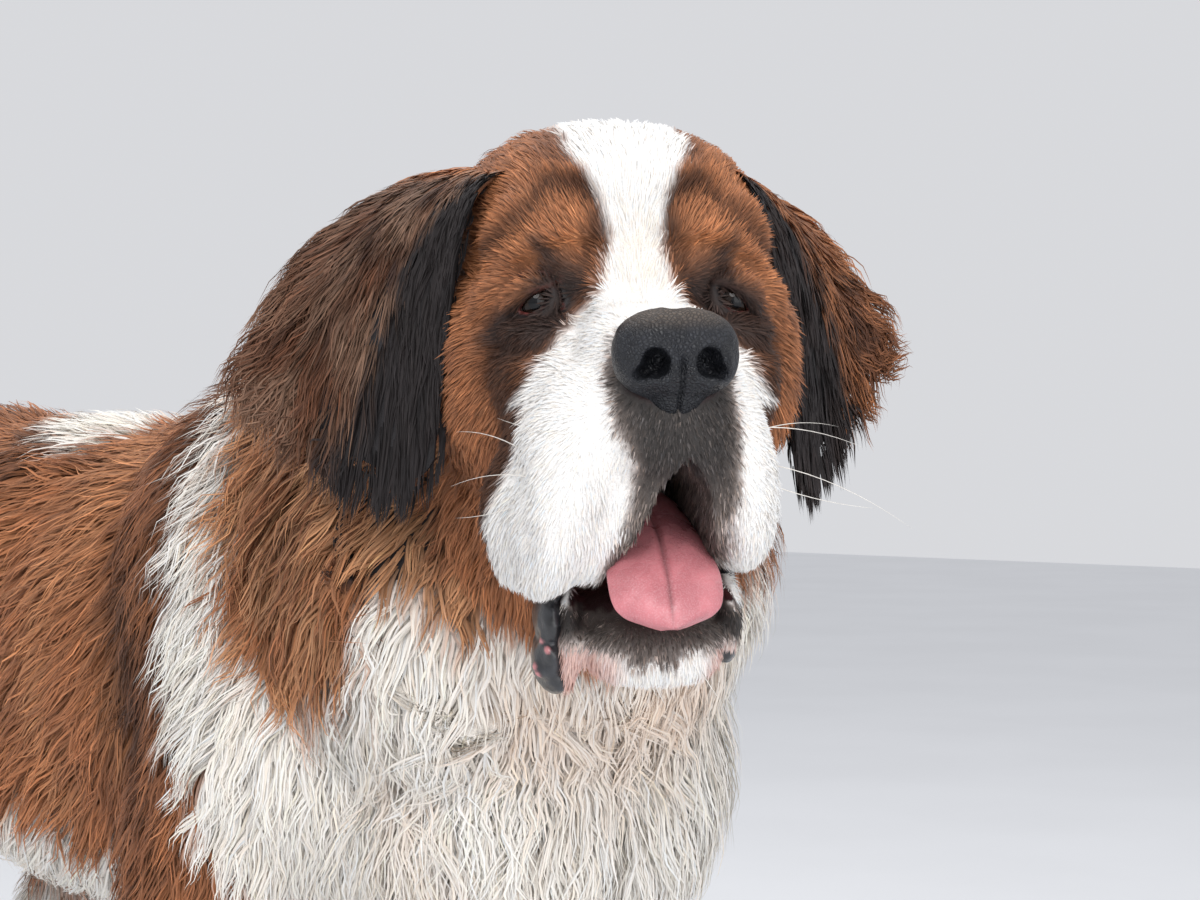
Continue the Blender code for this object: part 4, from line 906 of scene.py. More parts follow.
class Surface:
    """The skin that hair grows from."""

    def __init__(self, obj):
        self.points, self.normals = points_of(obj), points_of(obj, "normal")
        self.tris = corners_of(obj)
        loops = np.empty(self.tris.size, np.int32)
        obj.data.loop_triangles.foreach_get("loops", loops)
        uv = np.empty(len(obj.data.loops) * 2, np.float32)
        obj.data.uv_layers["OFBake"].data.foreach_get("uv", uv)
        self.uvs = uv.reshape(-1, 2)[loops].reshape(-1, 3, 2)
        a, b, c = (self.points[self.tris[:, k]] for k in range(3))
        self.area = np.linalg.norm(np.cross(b - a, c - a), axis=1) / 2
        self.middle = (a + b + c) / 3
        self.tree = BVHTree.FromPolygons(self.points.tolist(), self.tris.tolist())

    def roots(self, weight, count, draw):
        """Places spread over the skin by area and weight, with their normals and UVs."""
        total = np.cumsum(self.area * weight)
        share = (np.arange(count) + draw.random(count)) / count * total[-1]
        face = np.searchsorted(total, share).clip(0, len(total) - 1)
        u, v = draw.random(count), draw.random(count)
        u, v = np.where(u + v > 1, 1 - u, u), np.where(u + v > 1, 1 - v, v)
        bary = np.stack([1 - u - v, u, v], 1)[:, :, None]
        corner = self.tris[face]
        return (self.points[corner] * bary).sum(1), unit((self.normals[corner] * bary).sum(1)), (self.uvs[face] * bary).sum(1)

    def uv_near(self, spots):
        found = np.empty((len(spots), 2))
        for k, spot in enumerate(spots.tolist()):
            found[k] = self.uvs[self.tree.find_nearest(spot)[2]].mean(0)
        return found

    def walked(self, roots, ways, length, steps):
        """Paths over the skin from each root, and the way out at each step."""
        paths = np.empty((len(roots), steps + 1, 3))
        outs = np.empty_like(paths)
        for k, (root, way, run) in enumerate(zip(roots, ways, length)):
            here, out, _, _ = self.tree.find_nearest(root)
            way = Vector(way)
            for stage in range(steps + 1):
                paths[k, stage], outs[k, stage] = here, out
                way = (way - out * way.dot(out)).normalized()
                here, out, _, _ = self.tree.find_nearest(here + way * (run / steps))
        smooth = outs.copy()
        smooth[:, 1:-1] = (outs[:, :-2] + outs[:, 1:-1] + outs[:, 2:]) / 3
        return paths, unit(smooth)


def sampled(paths, s):
    """Points of each path at shares s, which may pass its end a little."""
    steps = paths.shape[1] - 1
    at = s * steps
    low = np.clip(np.floor(at).astype(int), 0, steps - 1)
    rows = np.arange(len(paths))[:, None]
    part = (at - low)[..., None]
    return paths[rows, low] * (1 - part) + paths[rows, low + 1] * part


def ribbons(name, paths, outs, width, twist, root_tint, tip_tint, uv, finish, own=0.38):
    """One mesh of tapered strips along the paths, shaded by the skin's way out and, by own, by their own faces."""
    n, rings = paths.shape[:2]
    last = rings - 1
    tangent = unit(np.gradient(paths, axis=1))
    side = unit(np.cross(tangent, outs))
    over = np.cross(side, tangent)
    across = side * np.cos(twist)[:, None, None] + over * np.sin(twist)[:, None, None]
    s = np.linspace(0, 1, rings)
    half = width[:, None] * np.interp(s, [0, 0.25, 0.65, 1], [0.8, 1.0, 0.66, 0.0]) / 2
    shift = across * half[..., None]
    points = np.empty((n, 2 * last + 1, 3), np.float32)
    points[:, 0:-1:2], points[:, 1:-1:2], points[:, -1] = (paths - shift)[:, :-1], (paths + shift)[:, :-1], paths[:, -1]
    tint = np.ones((n, 2 * last + 1, 4), np.float32)
    rise = np.repeat(s, 2)[: 2 * last + 1]
    tint[:, :, :3] = root_tint[:, None] * (1 - rise)[None, :, None] + tip_tint[:, None] * rise[None, :, None]
    strand = np.empty((n, 2 * last + 1, 3), np.float32)
    strand[:, :, 0] = np.append(np.tile([0.0, 1.0], last), 0.5)
    strand[:, :, 1] = rise
    strand[:, :, 2] = (np.arange(n) * 0.618034 % 1.0)[:, None]
    shape = []
    for j in range(last - 1):
        a = 2 * j
        shape += [(a, a + 1, a + 3), (a, a + 3, a + 2)]
    shape.append((2 * last - 2, 2 * last - 1, 2 * last))
    shape = np.array(shape)
    faces = (shape[None] + (np.arange(n) * (2 * last + 1))[:, None, None]).reshape(-1)
    mesh = bpy.data.meshes.new(name)
    mesh.vertices.add(points.shape[0] * points.shape[1])
    mesh.vertices.foreach_set("co", points.ravel())
    mesh.loops.add(len(faces))
    mesh.loops.foreach_set("vertex_index", faces.astype(np.int32))
    mesh.polygons.add(len(faces) // 3)
    mesh.polygons.foreach_set("loop_start", np.arange(0, len(faces), 3, dtype=np.int32))
    mesh.update(calc_edges=True)
    mesh.attributes.new("tint", "FLOAT_COLOR", "POINT").data.foreach_set("color", tint.ravel())
    mesh.attributes.new("strand", "FLOAT_VECTOR", "POINT").data.foreach_set("vector", strand.ravel())
    patch = uv[:, None, :] + (strand[:, :, :2] - 0.5) * 0.003
    mesh.uv_layers.new(name="OFBake").data.foreach_set("uv", patch.reshape(-1, 2)[faces].astype(np.float32).ravel())
    obj = linked(name, mesh)
    smooth_faces(obj)
    soft = unit(outs * (1 - own) + unit(np.cross(across, tangent)) * own)
    spread = np.empty((n, 2 * last + 1, 3), np.float32)
    spread[:, 0:-1:2], spread[:, 1:-1:2], spread[:, -1] = soft[:, :-1], soft[:, :-1], soft[:, -1]
    mesh.normals_split_custom_set_from_vertices(spread.reshape(-1, 3))
    mesh.materials.append(finish)
    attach(obj, "root")
    return obj


def tinted(roots, draw):
    """A root and a tip colour for each hair."""
    colour, grey = markings(roots)
    pale = colour.min(1) > 0.35
    bright = np.exp(draw.normal(0, 1, len(roots)) * np.where(grey > 0.1, 0.40, np.where(pale, 0.035, 0.22)))
    colour = colour * bright[:, None]
    warm = draw.normal(0, 0.03, len(roots))
    colour = colour * np.stack([1 + warm, np.ones(len(roots)), 1 - warm], 1)
    # the roots are darkened as painted shade of the coat over them, a little for pale hair and much for dark hair
    root = colour * np.where(pale, 0.97, 0.66)[:, None]
    tip = colour * np.where(pale, 1.03, 1.25)[:, None]
    return root.clip(0, 0.96), tip.clip(0, 0.96)


# Each piece of the coat: hairs, steps, width, clump spacing and how far the tips of a clump draw together

PIECES = {
    "coat_face": (56000, 2, 0.00120, 0.0, 0.0),
    "coat_cheeks": (30000, 3, 0.00150, 0.010, 0.30),
    "coat_ruff": (15000, 6, 0.0018, 0.014, 0.50),
    "coat_throat": (15500, 6, 0.0019, 0.013, 0.50),
    "coat_bib": (16000, 6, 0.0019, 0.015, 0.50),
    "coat_shoulders": (18500, 4, 0.0019, 0.014, 0.50),
    "coat_back": (13500, 4, 0.0023, 0.015, 0.50),
    "coat_hindquarters": (12000, 4, 0.0025, 0.015, 0.50),
    "coat_legs": (12000, 3, 0.0025, 0.011, 0.40),
    "coat_paws": (9000, 2, 0.0018, 0.0, 0.0),
    "coat_tail": (5000, 5, 0.0024, 0.016, 0.60),
}


def piece_of(points):
    """The name of the coat piece at each point."""
    d, h = in_dog(points), in_head(points)
    nape = h[:, 1] - 0.31 * (h[:, 2] - 0.06)
    head = nape < 0.092
    rules = [
        ("coat_face", head & (h[:, 1] < -0.050)),
        ("coat_cheeks", head),
        ("coat_paws", d[:, 2] < 0.075),
        ("coat_legs", (d[:, 2] < 0.345) & (d[:, 1] < 0.50)),
        ("coat_tail", (d[:, 1] > 0.495)),
        ("coat_throat", (d[:, 1] < -0.36) & (d[:, 2] > 0.56)),
        ("coat_bib", (d[:, 1] < -0.30) & (d[:, 2] < 0.60)),
        ("coat_ruff", d[:, 1] < -0.255),
        ("coat_shoulders", d[:, 1] < -0.04),
        ("coat_back", d[:, 1] < 0.200),
    ]
    names = np.full(len(points), "coat_hindquarters", dtype="<U20")
    for name, where in reversed(rules):
        names[where] = name
    return names


def grows(points, normals):
    """How thickly hair grows: none in the mouth, on the nose, on the lids and under the paws."""
    d, h = in_dog(points), in_head(points)
    dense = np.ones(len(points))
    for _, side in SIDES:
        eye = np.array(eye_at(side))
        dense *= step(EYE_RADIUS + 0.0012, EYE_RADIUS + 0.0038, np.linalg.norm(h - eye, axis=1))
    nose = ((h - np.array([0, -0.206, -0.038])) / np.array([0.037, 0.030, 0.031])) ** 2
    dense *= step(0.85, 1.1, nose.sum(1))
    for at, size in LIPS:
        dense *= step(0.9, 1.3, (((h - np.array(at)) / np.array(size)) ** 2).sum(1))
    gape = [(-x - 0.0012, z + 0.001) for x, z in reversed(MOUTH)] + [(x + 0.0012, z + 0.001) for x, z in MOUTH[1:]]
    dense *= 1 - inside(leant(h[:, 0], h[:, 2]), h[:, 2], gape, 0.0006) * (h[:, 1] < -0.052) * (h[:, 1] > -0.26) * ((h[:, 2] > -0.192) | (h[:, 1] > -0.150) & (h[:, 2] > -0.196) & (np.abs(h[:, 0]) < 0.040))
    dense *= step(0.006, 0.010, d[:, 2])
    return dense


def grown(name, surface, weight, draw, finish, share):
    count, steps, width, spacing, hold = PIECES[name]
    count = int(count * share)
    roots, normals, uv = surface.roots(weight, count, draw)
    guide = coat_at(roots)
    ways = unit(guide[:, :3] + np.stack([noise(roots, 0.014, k) for k in (31, 32, 33)], 1) * 0.16)
    length, inset, lift, wave = guide[:, 3], guide[:, 4], guide[:, 5], guide[:, 6]
    s = np.linspace(0, 1, steps + 1)
    n = len(roots)
    if spacing:
        clumps = max(20, int(surface.area[weight > 0].sum() / spacing**2 * 1.2))
        seeds, _, _ = surface.roots(weight, clumps, draw)
        seed_guide = coat_at(seeds)
        seed_ways = unit(seed_guide[:, :3] + draw.normal(0, 0.16, (clumps, 3)))
        paths, outs = surface.walked(seeds, seed_ways, seed_guide[:, 3], 6)
        tree = KDTree(clumps)
        for k, seed in enumerate(seeds):
            tree.insert(seed, k)
        tree.balance()
        own = np.array([tree.find(root)[1] for root in roots])
        reach = draw.uniform(0.62, 1.10, n)[:, None] * (length / seed_guide[own, 3])[:, None]
        at = s[None] * np.minimum(reach, 1.3)
        base, out = sampled(paths[own], at), unit(sampled(outs[own], np.minimum(at, 1)))
        offset = roots - paths[own, 0]
        offset -= outs[own, 0] * (offset * outs[own, 0]).sum(1, keepdims=True) * 0.5
        gather = (1 - hold * np.clip(at, 0, 1) ** 1.4)[..., None]
        line = base + offset[:, None] * gather
        across = unit(np.cross(np.gradient(line, axis=1), out))
        phase = draw.uniform(0, math.tau, clumps)[own] + draw.normal(0, 0.35, n)
        cycles = seed_guide[own, 3] / draw.uniform(0.034, 0.058, clumps)[own]
        swing = np.sin(math.tau * cycles[:, None] * at + phase[:, None]) - np.sin(phase)[:, None]
        line += across * (swing * (wave * 0.0070)[:, None] * np.sqrt(at))[..., None]
        curl = np.cos(math.tau * cycles[:, None] * at * 0.9 + phase[:, None])
        line += across * (draw.normal(0, 0.05, n)[:, None] * at * length[:, None])[..., None]
        rise = draw.uniform(0.25, 1.0, n) ** 0.7
        height = lift[:, None] * rise[:, None] * (1 - (1 - np.clip(at, 0, 1)) ** 1.8)
        height += curl * (wave * 0.0040)[:, None] * at * (1 - 0.3 * at)
        line += out * height[..., None]
    else:
        flat = unit(ways - normals * (ways * normals).sum(1, keepdims=True))
        flat = unit(flat + draw.normal(0, 0.10, (n, 3)))
        run = length * draw.uniform(0.7, 1.15, n)
        rise = lift * draw.uniform(0.35, 1.0, n)
        bend = s[None] ** 0.75
        line = roots[:, None] + flat[:, None] * (run[:, None] * s[None])[..., None] + normals[:, None] * (rise[:, None] * bend)[..., None]
        line -= normals[:, None] * 0.0008
        out = np.repeat(normals[:, None], steps + 1, axis=1)
    line[..., 2] = np.maximum(line[..., 2], 0.0008)
    root_tint, tip_tint = tinted(roots, draw)
    wide = width * draw.uniform(0.65, 1.35, n) / math.sqrt(max(share, 0.2)) ** 0.8
    white = name in ("coat_throat", "coat_bib", "coat_legs", "coat_paws", "coat_ruff")
    obj = ribbons(name, line, out, wide, draw.normal(0, 0.30, n), root_tint, tip_tint, uv, finish, 0.20 if white else 0.36)
    return obj


def ear_colours(side, down, back, roots, draw):
    look = looks()
    black, brown, orange = np.array(look.black), np.array(look.brown), np.array(look.orange)
    n = len(down)
    wave = noise(roots, 0.020, 41) * 0.5 + noise(roots, 0.007, 42) * 0.3
    edge = (0.50 if side > 0 else 0.36) + 0.46 * (down - 0.45) + wave * 0.16
    dark = step(0.07, -0.07, back - edge) * step(0.03, 0.14, down)
    # the right ear's rust is greyer and darker than the left's: partly its own greyer brown, partly painted shade of
    # the hanging ear
    ashen_and_shaded = np.array([0.20, 0.115, 0.075]) if side < 0 else orange * 0.85
    rust = blend(np.tile(ashen_and_shaded, (n, 1)), brown * 0.75, np.clip(0.30 + wave * 1.6 + (down - 0.35) * 0.7, 0, 1))
    rust = blend(rust, brown * 0.25, np.clip(noise(roots, 0.013, 43) * 1.6 - 0.15, 0, 1) * 0.9)
    gold = step(0.16, 0.02, down) * np.clip(0.6 + wave, 0, 1)
    rust = blend(rust, orange * 1.25, gold)
    colour = blend(rust, black, dark * 0.97)
    bright = np.exp(draw.normal(0, 0.20, n))[:, None]
    # the roots are darkened to 0.62 as painted shade of the hair over them; the tips are lighter
    return (colour * bright * 0.62).clip(0, 0.9), (colour * bright * 1.22).clip(0, 0.9)


def grown_ear(word, side, surface, draw, finish, share):
    """Hair on both faces of an ear: smooth in front, long and wavy at its rear, and ending at its rim."""
    parts = []
    for face, count in ((1, 8400), (-1, 1800)):
        n = int(count * share)
        clumps = 320 if face > 0 else 160
        seed_down, seed_back = draw.random(clumps) ** 0.85, draw.random(clumps)
        own = draw.integers(0, clumps, n)
        down = np.clip(seed_down[own] + draw.normal(0, 0.026, n), 0, 0.97)
        back = np.clip(seed_back[own] + draw.normal(0, 0.034, n), 0, 1)
        far = np.clip(back * 1.5 - 0.55, 0, 1)
        length = (0.11 + 0.14 * far) * draw.uniform(0.7, 1.15, n) * (1.0 if face > 0 else 0.6)
        end = 1.0 + draw.uniform(-0.01, 0.07, n) * (0.5 + far)
        length = np.minimum(length, np.maximum(end - down, 0.05))
        s = np.linspace(0, 1, 7)[None]
        turn = (-0.10 + 0.62 * far)[:, None] + draw.normal(0, 0.16, clumps)[own][:, None]
        hold = 1 - 0.60 * s
        line_down = seed_down[own][:, None] + (down - seed_down[own])[:, None] * hold + length[:, None] * s
        line_back = seed_back[own][:, None] + (back - seed_back[own])[:, None] * hold + length[:, None] * turn * s
        phase = draw.uniform(0, math.tau, clumps)[own][:, None] + draw.normal(0, 0.3, n)[:, None]
        swing = np.sin(s * (4.5 + 2.5 * far[:, None]) + phase) - np.sin(phase)
        line_back = line_back + swing * s * (0.006 + 0.040 * far[:, None])
        line_back = np.clip(line_back, -0.02 - 0.04 * draw.random(n)[:, None], 1.05 + 0.05 * draw.random(n)[:, None])
        size = line_down.shape
        spot = ear_spot(side, line_down.ravel(), line_back.ravel()).reshape(*size, 3)
        out = ear_out(side, np.clip(line_down, 0, 1).ravel(), np.clip(line_back, 0, 1).ravel()).reshape(*size, 3) * face
        puff = (0.0025 + 0.0020 * far + 0.0120 * far * down * step(0.0, 0.5, down)) * draw.uniform(0.25, 1.0, n) * (1.0 if face > 0 else 0.35)
        rise = (0.0022 if face > 0 else 0.0015) + puff[:, None] * np.sin(s * 2.0)
        rise = rise + np.cos(s * 6.0 + phase) * s * 0.003 * far[:, None]
        line = carried((spot + out * rise[..., None]).reshape(-1, 3), HEAD).reshape(*size, 3)
        line[..., 0] += np.maximum(0.0, -0.240 - line[..., 0]) * 0.50
        turned = out.reshape(-1, 3) @ np.array(HEAD.to_3x3()).T
        parts.append((line, turned.reshape(*size, 3), *ear_colours(side, down, back, line[:, 0], draw), draw.uniform(0.0010, 0.0020, n)))
    line, out, root_tint, tip_tint, wide = (np.concatenate(p) for p in zip(*parts))
    wide /= math.sqrt(max(share, 0.2)) ** 0.8
    uv = surface.uv_near(line[:, 0])
    obj = ribbons("coat_ear_" + word, line, out, wide, draw.normal(0, 0.45, len(line)), root_tint, tip_tint, uv, finish)
    return obj


# Finishes


class Value:
    """A shader socket that takes part in plain sums."""

    def __init__(self, finish, socket):
        self.finish, self.socket = finish, socket

    def math(self, operation, *others):
        inputs = {k: v for k, v in enumerate((self, *others))}
        return self.finish.node("ShaderNodeMath", {"operation": operation}, inputs)

    def __add__(self, other):
        return self.math("ADD", other)

    def __sub__(self, other):
        return self.math("SUBTRACT", other)

    def __mul__(self, other):
        return self.math("MULTIPLY", other)

    def __truediv__(self, other):
        return self.math("DIVIDE", other)

    def __pow__(self, other):
        return self.math("POWER", other)

    def __rsub__(self, other):
        return self.finish.node("ShaderNodeMath", {"operation": "SUBTRACT"}, {0: other, 1: self})

    __radd__ = __add__
    __rmul__ = __mul__

    def between(self, low, high, start=0.0, end=1.0):
        settings = {"interpolation_type": "SMOOTHSTEP"}
        inputs = {"Value": self, "From Min": low, "From Max": high, "To Min": start, "To Max": end}
        return self.finish.node("ShaderNodeMapRange", settings, inputs)


class Finish:
    """A material and its Principled shader."""

    def __init__(self, name, **uniform):
        self.material = bpy.data.materials.new(name)
        self.material.use_nodes = True
        self.tree = self.material.node_tree
        self.shader = self.tree.nodes["Principled BSDF"]
        for word, value in uniform.items():
            self.shader.inputs[word.replace("_", " ").title().replace("Ior", "IOR")].default_value = value

    def node(self, kind, settings=None, inputs=None, output=0):
        made = self.tree.nodes.new(kind)
        for word, value in (settings or {}).items():
            if word == "stops":
                ramp = made.color_ramp
                while len(ramp.elements) < len(value):
                    ramp.elements.new(0.5)
                for element, (at, colour) in zip(ramp.elements, value):
                    element.position, element.color = at, (*colour, 1.0)
            else:
                setattr(made, word, value)
        for key, value in (inputs or {}).items():
            self.feed(made.inputs[key], value)
        return Value(self, made.outputs[output])

    def feed(self, socket, value):
        if isinstance(value, Value):
            self.tree.links.new(value.socket, socket)
        elif socket.type == "RGBA":
            socket.default_value = (*value, 1.0) if len(value) == 3 else value
        else:
            socket.default_value = value

    def mixed(self, share, a, b, blend_type="MIX"):
        return self.node("ShaderNodeMix", {"data_type": "RGBA", "blend_type": blend_type}, {0: share, 6: a, 7: b}, 2)

    def attribute(self, name, output="Color"):
        return self.node("ShaderNodeAttribute", {"attribute_name": name}, None, output)

    def place(self):
        return self.node("ShaderNodeTexCoord", None, None, "Object")

    def noise(self, where, scale, detail=2.0, rough=0.5, output=0):
        return self.node("ShaderNodeTexNoise", None, {"Vector": where, "Scale": scale, "Detail": detail, "Roughness": rough}, output)

    def bump(self, height, strength, distance):
        return self.node("ShaderNodeBump", None, {"Height": height, "Strength": strength, "Distance": distance})

    def put(self, **sockets):
        for word, value in sockets.items():
            self.feed(self.shader.inputs[word.replace("_", " ").title()], value)
        return self.material


def hair_finish():
    f = Finish("coat hair", roughness=0.56, specular_ior_level=0.22, sheen_weight=0.03, sheen_roughness=0.45)
    tint, strand = f.attribute("tint"), f.attribute("strand", "Vector")
    stretch = f.node("ShaderNodeVectorMath", {"operation": "MULTIPLY"}, {0: strand, 1: (5.0, 0.55, 91.0)})
    hairs = f.noise(stretch, 1.0, 3.0, 0.6)
    shade = hairs.between(0.30, 0.72, 0.90, 1.07)
    tone = f.node("ShaderNodeVectorMath", {"operation": "SCALE"}, {0: tint, "Scale": shade})
    return f.put(base_color=tone, normal=f.bump(hairs, 0.25, 0.0008))


def skin_finish():
    f = Finish("skin", specular_ior_level=0.35)
    tint, wet = f.attribute("tint"), f.attribute("wet", "Fac")
    where = f.place()
    fine = f.noise(where, 900.0, 3.0, 0.6)
    pores = f.noise(where, 260.0, 2.0)
    shade = fine.between(0.3, 0.7, 0.82, 1.10)
    tone = f.node("ShaderNodeVectorMath", {"operation": "SCALE"}, {0: tint, "Scale": shade})
    rough = 0.68 - wet * 0.42
    return f.put(base_color=tone, roughness=rough, normal=f.bump(fine + pores, 0.5, 0.0008))


def nose_finish():
    look = looks()
    f = Finish("nose leather", specular_ior_level=0.34)
    where = f.place()
    cells = f.node("ShaderNodeTexVoronoi", {"feature": "DISTANCE_TO_EDGE"}, {"Vector": where, "Scale": 430.0}, 0)
    worn = f.noise(where, 70.0, 3.0)
    top = f.attribute("crown", "Fac")
    pebble = cells.between(0.0, 0.28)
    base = f.mixed(worn.between(0.35, 0.7), tuple(look.nose), tuple(c * 2.2 for c in look.nose))
    base = f.mixed(top * 0.85, base, (0.120, 0.092, 0.072))
    # the cracks between the pebbles are darkened, painted shade in the crevices
    base = f.mixed(pebble.between(0.0, 1.0, 0.60, 0.0), base, (0.005, 0.005, 0.007))
    rough = worn.between(0.3, 0.7, 0.30, 0.50) + top * 0.25
    return f.put(base_color=base, roughness=rough, normal=f.bump(pebble + worn * 0.6, 0.60, 0.0010))


def lips_finish():
    look = looks()
    f = Finish("lip skin", specular_ior_level=0.6, coat_weight=0.35, coat_roughness=0.12)
    where = f.place()
    fine = f.noise(where, 420.0, 3.0)
    broad = f.noise(where, 90.0, 3.0)
    base = f.mixed(broad.between(0.35, 0.7), (0.010, 0.010, 0.012), tuple(c * 1.8 for c in look.nose))
    base = f.mixed(f.attribute("pink", "Fac"), base, (0.58, 0.22, 0.23))
    return f.put(base_color=base, roughness=broad.between(0.3, 0.7, 0.28, 0.46), normal=f.bump(fine + broad, 0.40, 0.0007))


def tongue_finish():
    look = looks()
    f = Finish("tongue", specular_ior_level=0.55, subsurface_weight=0.0)
    where = f.place()
    buds = f.node("ShaderNodeTexVoronoi", {"feature": "SMOOTH_F1"}, {"Vector": where, "Scale": 900.0, "Smoothness": 0.6}, 0)
    broad = f.noise(where, 60.0, 3.0)
    groove = f.attribute("groove", "Fac")
    base = f.mixed(broad.between(0.35, 0.7), tuple(look.tongue), tuple(min(1, c * 1.25) for c in look.tongue))
    # the middle groove is darkened to 0.45, painted shade in the crease
    base = f.mixed(groove * 0.90, base, tuple(c * 0.45 for c in look.tongue))
    base = f.mixed(buds.between(0.1, 0.6, 0.20, 0.0), base, (0.80, 0.50, 0.52))
    rough = broad.between(0.3, 0.75, 0.22, 0.45)
    return f.put(base_color=base, roughness=rough, normal=f.bump(buds + broad * 0.5, 0.40, 0.0005))


def eye_finish():
    look = looks()
    f = Finish("eye", coat_weight=0.45, coat_roughness=0.02, specular_ior_level=0.08)
    ring = f.attribute("ring", "Fac")
    where = f.place()
    rays = f.noise(where, 480.0, 3.0)
    iris = f.mixed(rays.between(0.3, 0.7), tuple(look.eye), tuple(c * 2.4 for c in look.eye))
    base = f.mixed(ring.between(0.225, 0.245), (0.003, 0.003, 0.004), iris)
    base = f.mixed(ring.between(0.50, 0.56), base, tuple(c * 0.35 for c in look.eye))
    veins = f.noise(where, 220.0, 4.0, 0.7)
    # the white of the eye is painted dark brown, painted shade of the drooping lids over it; the veins are redder
    white = f.mixed(veins.between(0.45, 0.7), (0.060, 0.040, 0.036), (0.055, 0.020, 0.016))
    base = f.mixed(ring.between(0.60, 0.66), base, white)
    return f.put(base_color=base, roughness=rays.between(0.0, 1.0, 0.10, 0.20), normal=f.bump(veins, 0.05, 0.0003))


def claw_finish():
    look = looks()
    f = Finish("claw horn", specular_ior_level=0.5, coat_weight=0.15)
    where = f.place()
    streak = f.node("ShaderNodeMapping", None, {"Vector": where, "Scale": (1.0, 0.12, 0.5)})
    grain = f.noise(streak, 900.0, 3.0)
    tip = f.attribute("tip", "Fac")
    base = f.mixed(grain.between(0.3, 0.7), tuple(look.claw), tuple(c * 1.9 for c in look.claw))
    base = f.mixed(tip * 0.6, base, tuple(c * 0.4 for c in look.claw))
    return f.put(base_color=base, roughness=grain.between(0.2, 0.8, 0.32, 0.50), normal=f.bump(grain, 0.3, 0.0004))


def whisker_finish():
    f = Finish("whisker", roughness=0.4, specular_ior_level=0.4)
    tint = f.attribute("tint")
    fine = f.noise(f.place(), 300.0, 2.0)
    tone = f.node("ShaderNodeVectorMath", {"operation": "SCALE"}, {0: tint, "Scale": fine.between(0.2, 0.8, 0.85, 1.1)})
    return f.put(base_color=tone)


def floor_finish():
    look = looks()
    f = Finish("floor", roughness=0.85, specular_ior_level=0.2)
    where = f.place()
    broad = f.noise(where, 1.5, 4.0)
    base = f.mixed(broad.between(0.3, 0.7), tuple(look.floor), tuple(c * 0.97 for c in look.floor))
    return f.put(base_color=base, normal=f.bump(f.noise(where, 120.0, 3.0), 0.08, 0.001))


def float_attribute(obj, name, values):
    obj.data.attributes.new(name, "FLOAT", "POINT").data.foreach_set("value", values.astype(np.float32))


def colour_attribute(obj, values):
    rgba = np.ones((len(values), 4), np.float32)
    rgba[:, :3] = values
    obj.data.attributes.new("tint", "FLOAT_COLOR", "POINT").data.foreach_set("color", rgba.ravel())


# Pieces that aren't hair

EAR_START = {}


def skin_piece():
    skin = head_skin()
    others = [jaw_skin(), body_skin(), *paw_skins()]
    joined_by_boolean(skin, others, "UNION")
    applied(skin, "TRIANGULATE")
    applied(skin, "DECIMATE", ratio=185000 / len(skin.data.polygons))
    EAR_START["face"] = len(corners_of(skin))
    for _, side in SIDES:
        leather = ear_skin(side)
        chosen(skin)
        leather.select_set(True)
        bpy.ops.object.join()
    skin.name = skin.data.name = "skin"
    smooth_faces(skin)
    ready_to_bake(skin)
    points, normals = points_of(skin), points_of(skin, "normal")
    look = looks()
    tint, _ = markings(points)
    # the skin under the dark coat is darkened to 0.70, painted shade of the hair over it
    tint *= np.where(tint.min(1) > 0.35, 1.0, 0.70)[:, None]
    dense = grows(points, normals)
    h = in_head(points)
    wet = np.zeros(len(points))
    bare = (1 - dense) * (h[:, 2] > -0.30) * (np.linalg.norm(h, axis=1) < 0.34)
    lining = np.tile(np.array([0.028, 0.010, 0.011]), (len(points), 1))
    lining = blend(lining, (0.10, 0.030, 0.032), np.clip(noise(points, 0.012, 51) * 0.8, 0, 1) * step(-0.10, -0.16, h[:, 2]))
    tint = tint + (lining - tint) * bare[:, None]
    wet = np.maximum(wet, bare * 0.75)
    near_eye = np.zeros(len(points))
    for _, side in SIDES:
        off = h - np.array(eye_at(side))
        near = step(EYE_RADIUS + 0.0065, EYE_RADIUS + 0.0030, np.linalg.norm(off, axis=1))
        haw = near * step(EYE_RADIUS + 0.0022, EYE_RADIUS + 0.0010, np.linalg.norm(off, axis=1)) * step(0.001, -0.003, off[:, 2])
        tint = blend(tint, (0.012, 0.008, 0.008), near)
        tint = blend(tint, (0.115, 0.042, 0.032), near * step(0.004, 0.009, off[:, 2] + 0.4 * off[:, 0] * side))
        tint = blend(tint, (0.20, 0.050, 0.042), haw * 0.8)
        near_eye = np.maximum(near_eye, near)
    wet = np.maximum(wet, near_eye * 0.3)
    ears = (np.abs(h[:, 0]) > 0.108) & (h[:, 2] > -0.20) & (h[:, 1] < 0.10)
    tint = blend(tint, np.array(look.black) * 1.4, ears * 1.0)
    pads = step(0.010, 0.006, in_dog(points)[:, 2])
    tint = blend(tint, (0.020, 0.017, 0.017), pads)
    colour_attribute(skin, tint)
    float_attribute(skin, "wet", wet)
    skin.data.materials.clear()
    skin.data.materials.append(skin_finish())
    nodes = FLESH + [leg + "_" + word for leg in (*LEGS, "forepaw", "hindpaw", "ear") for word, _ in SIDES]
    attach(skin, "root")
    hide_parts(*nodes)
    return skin


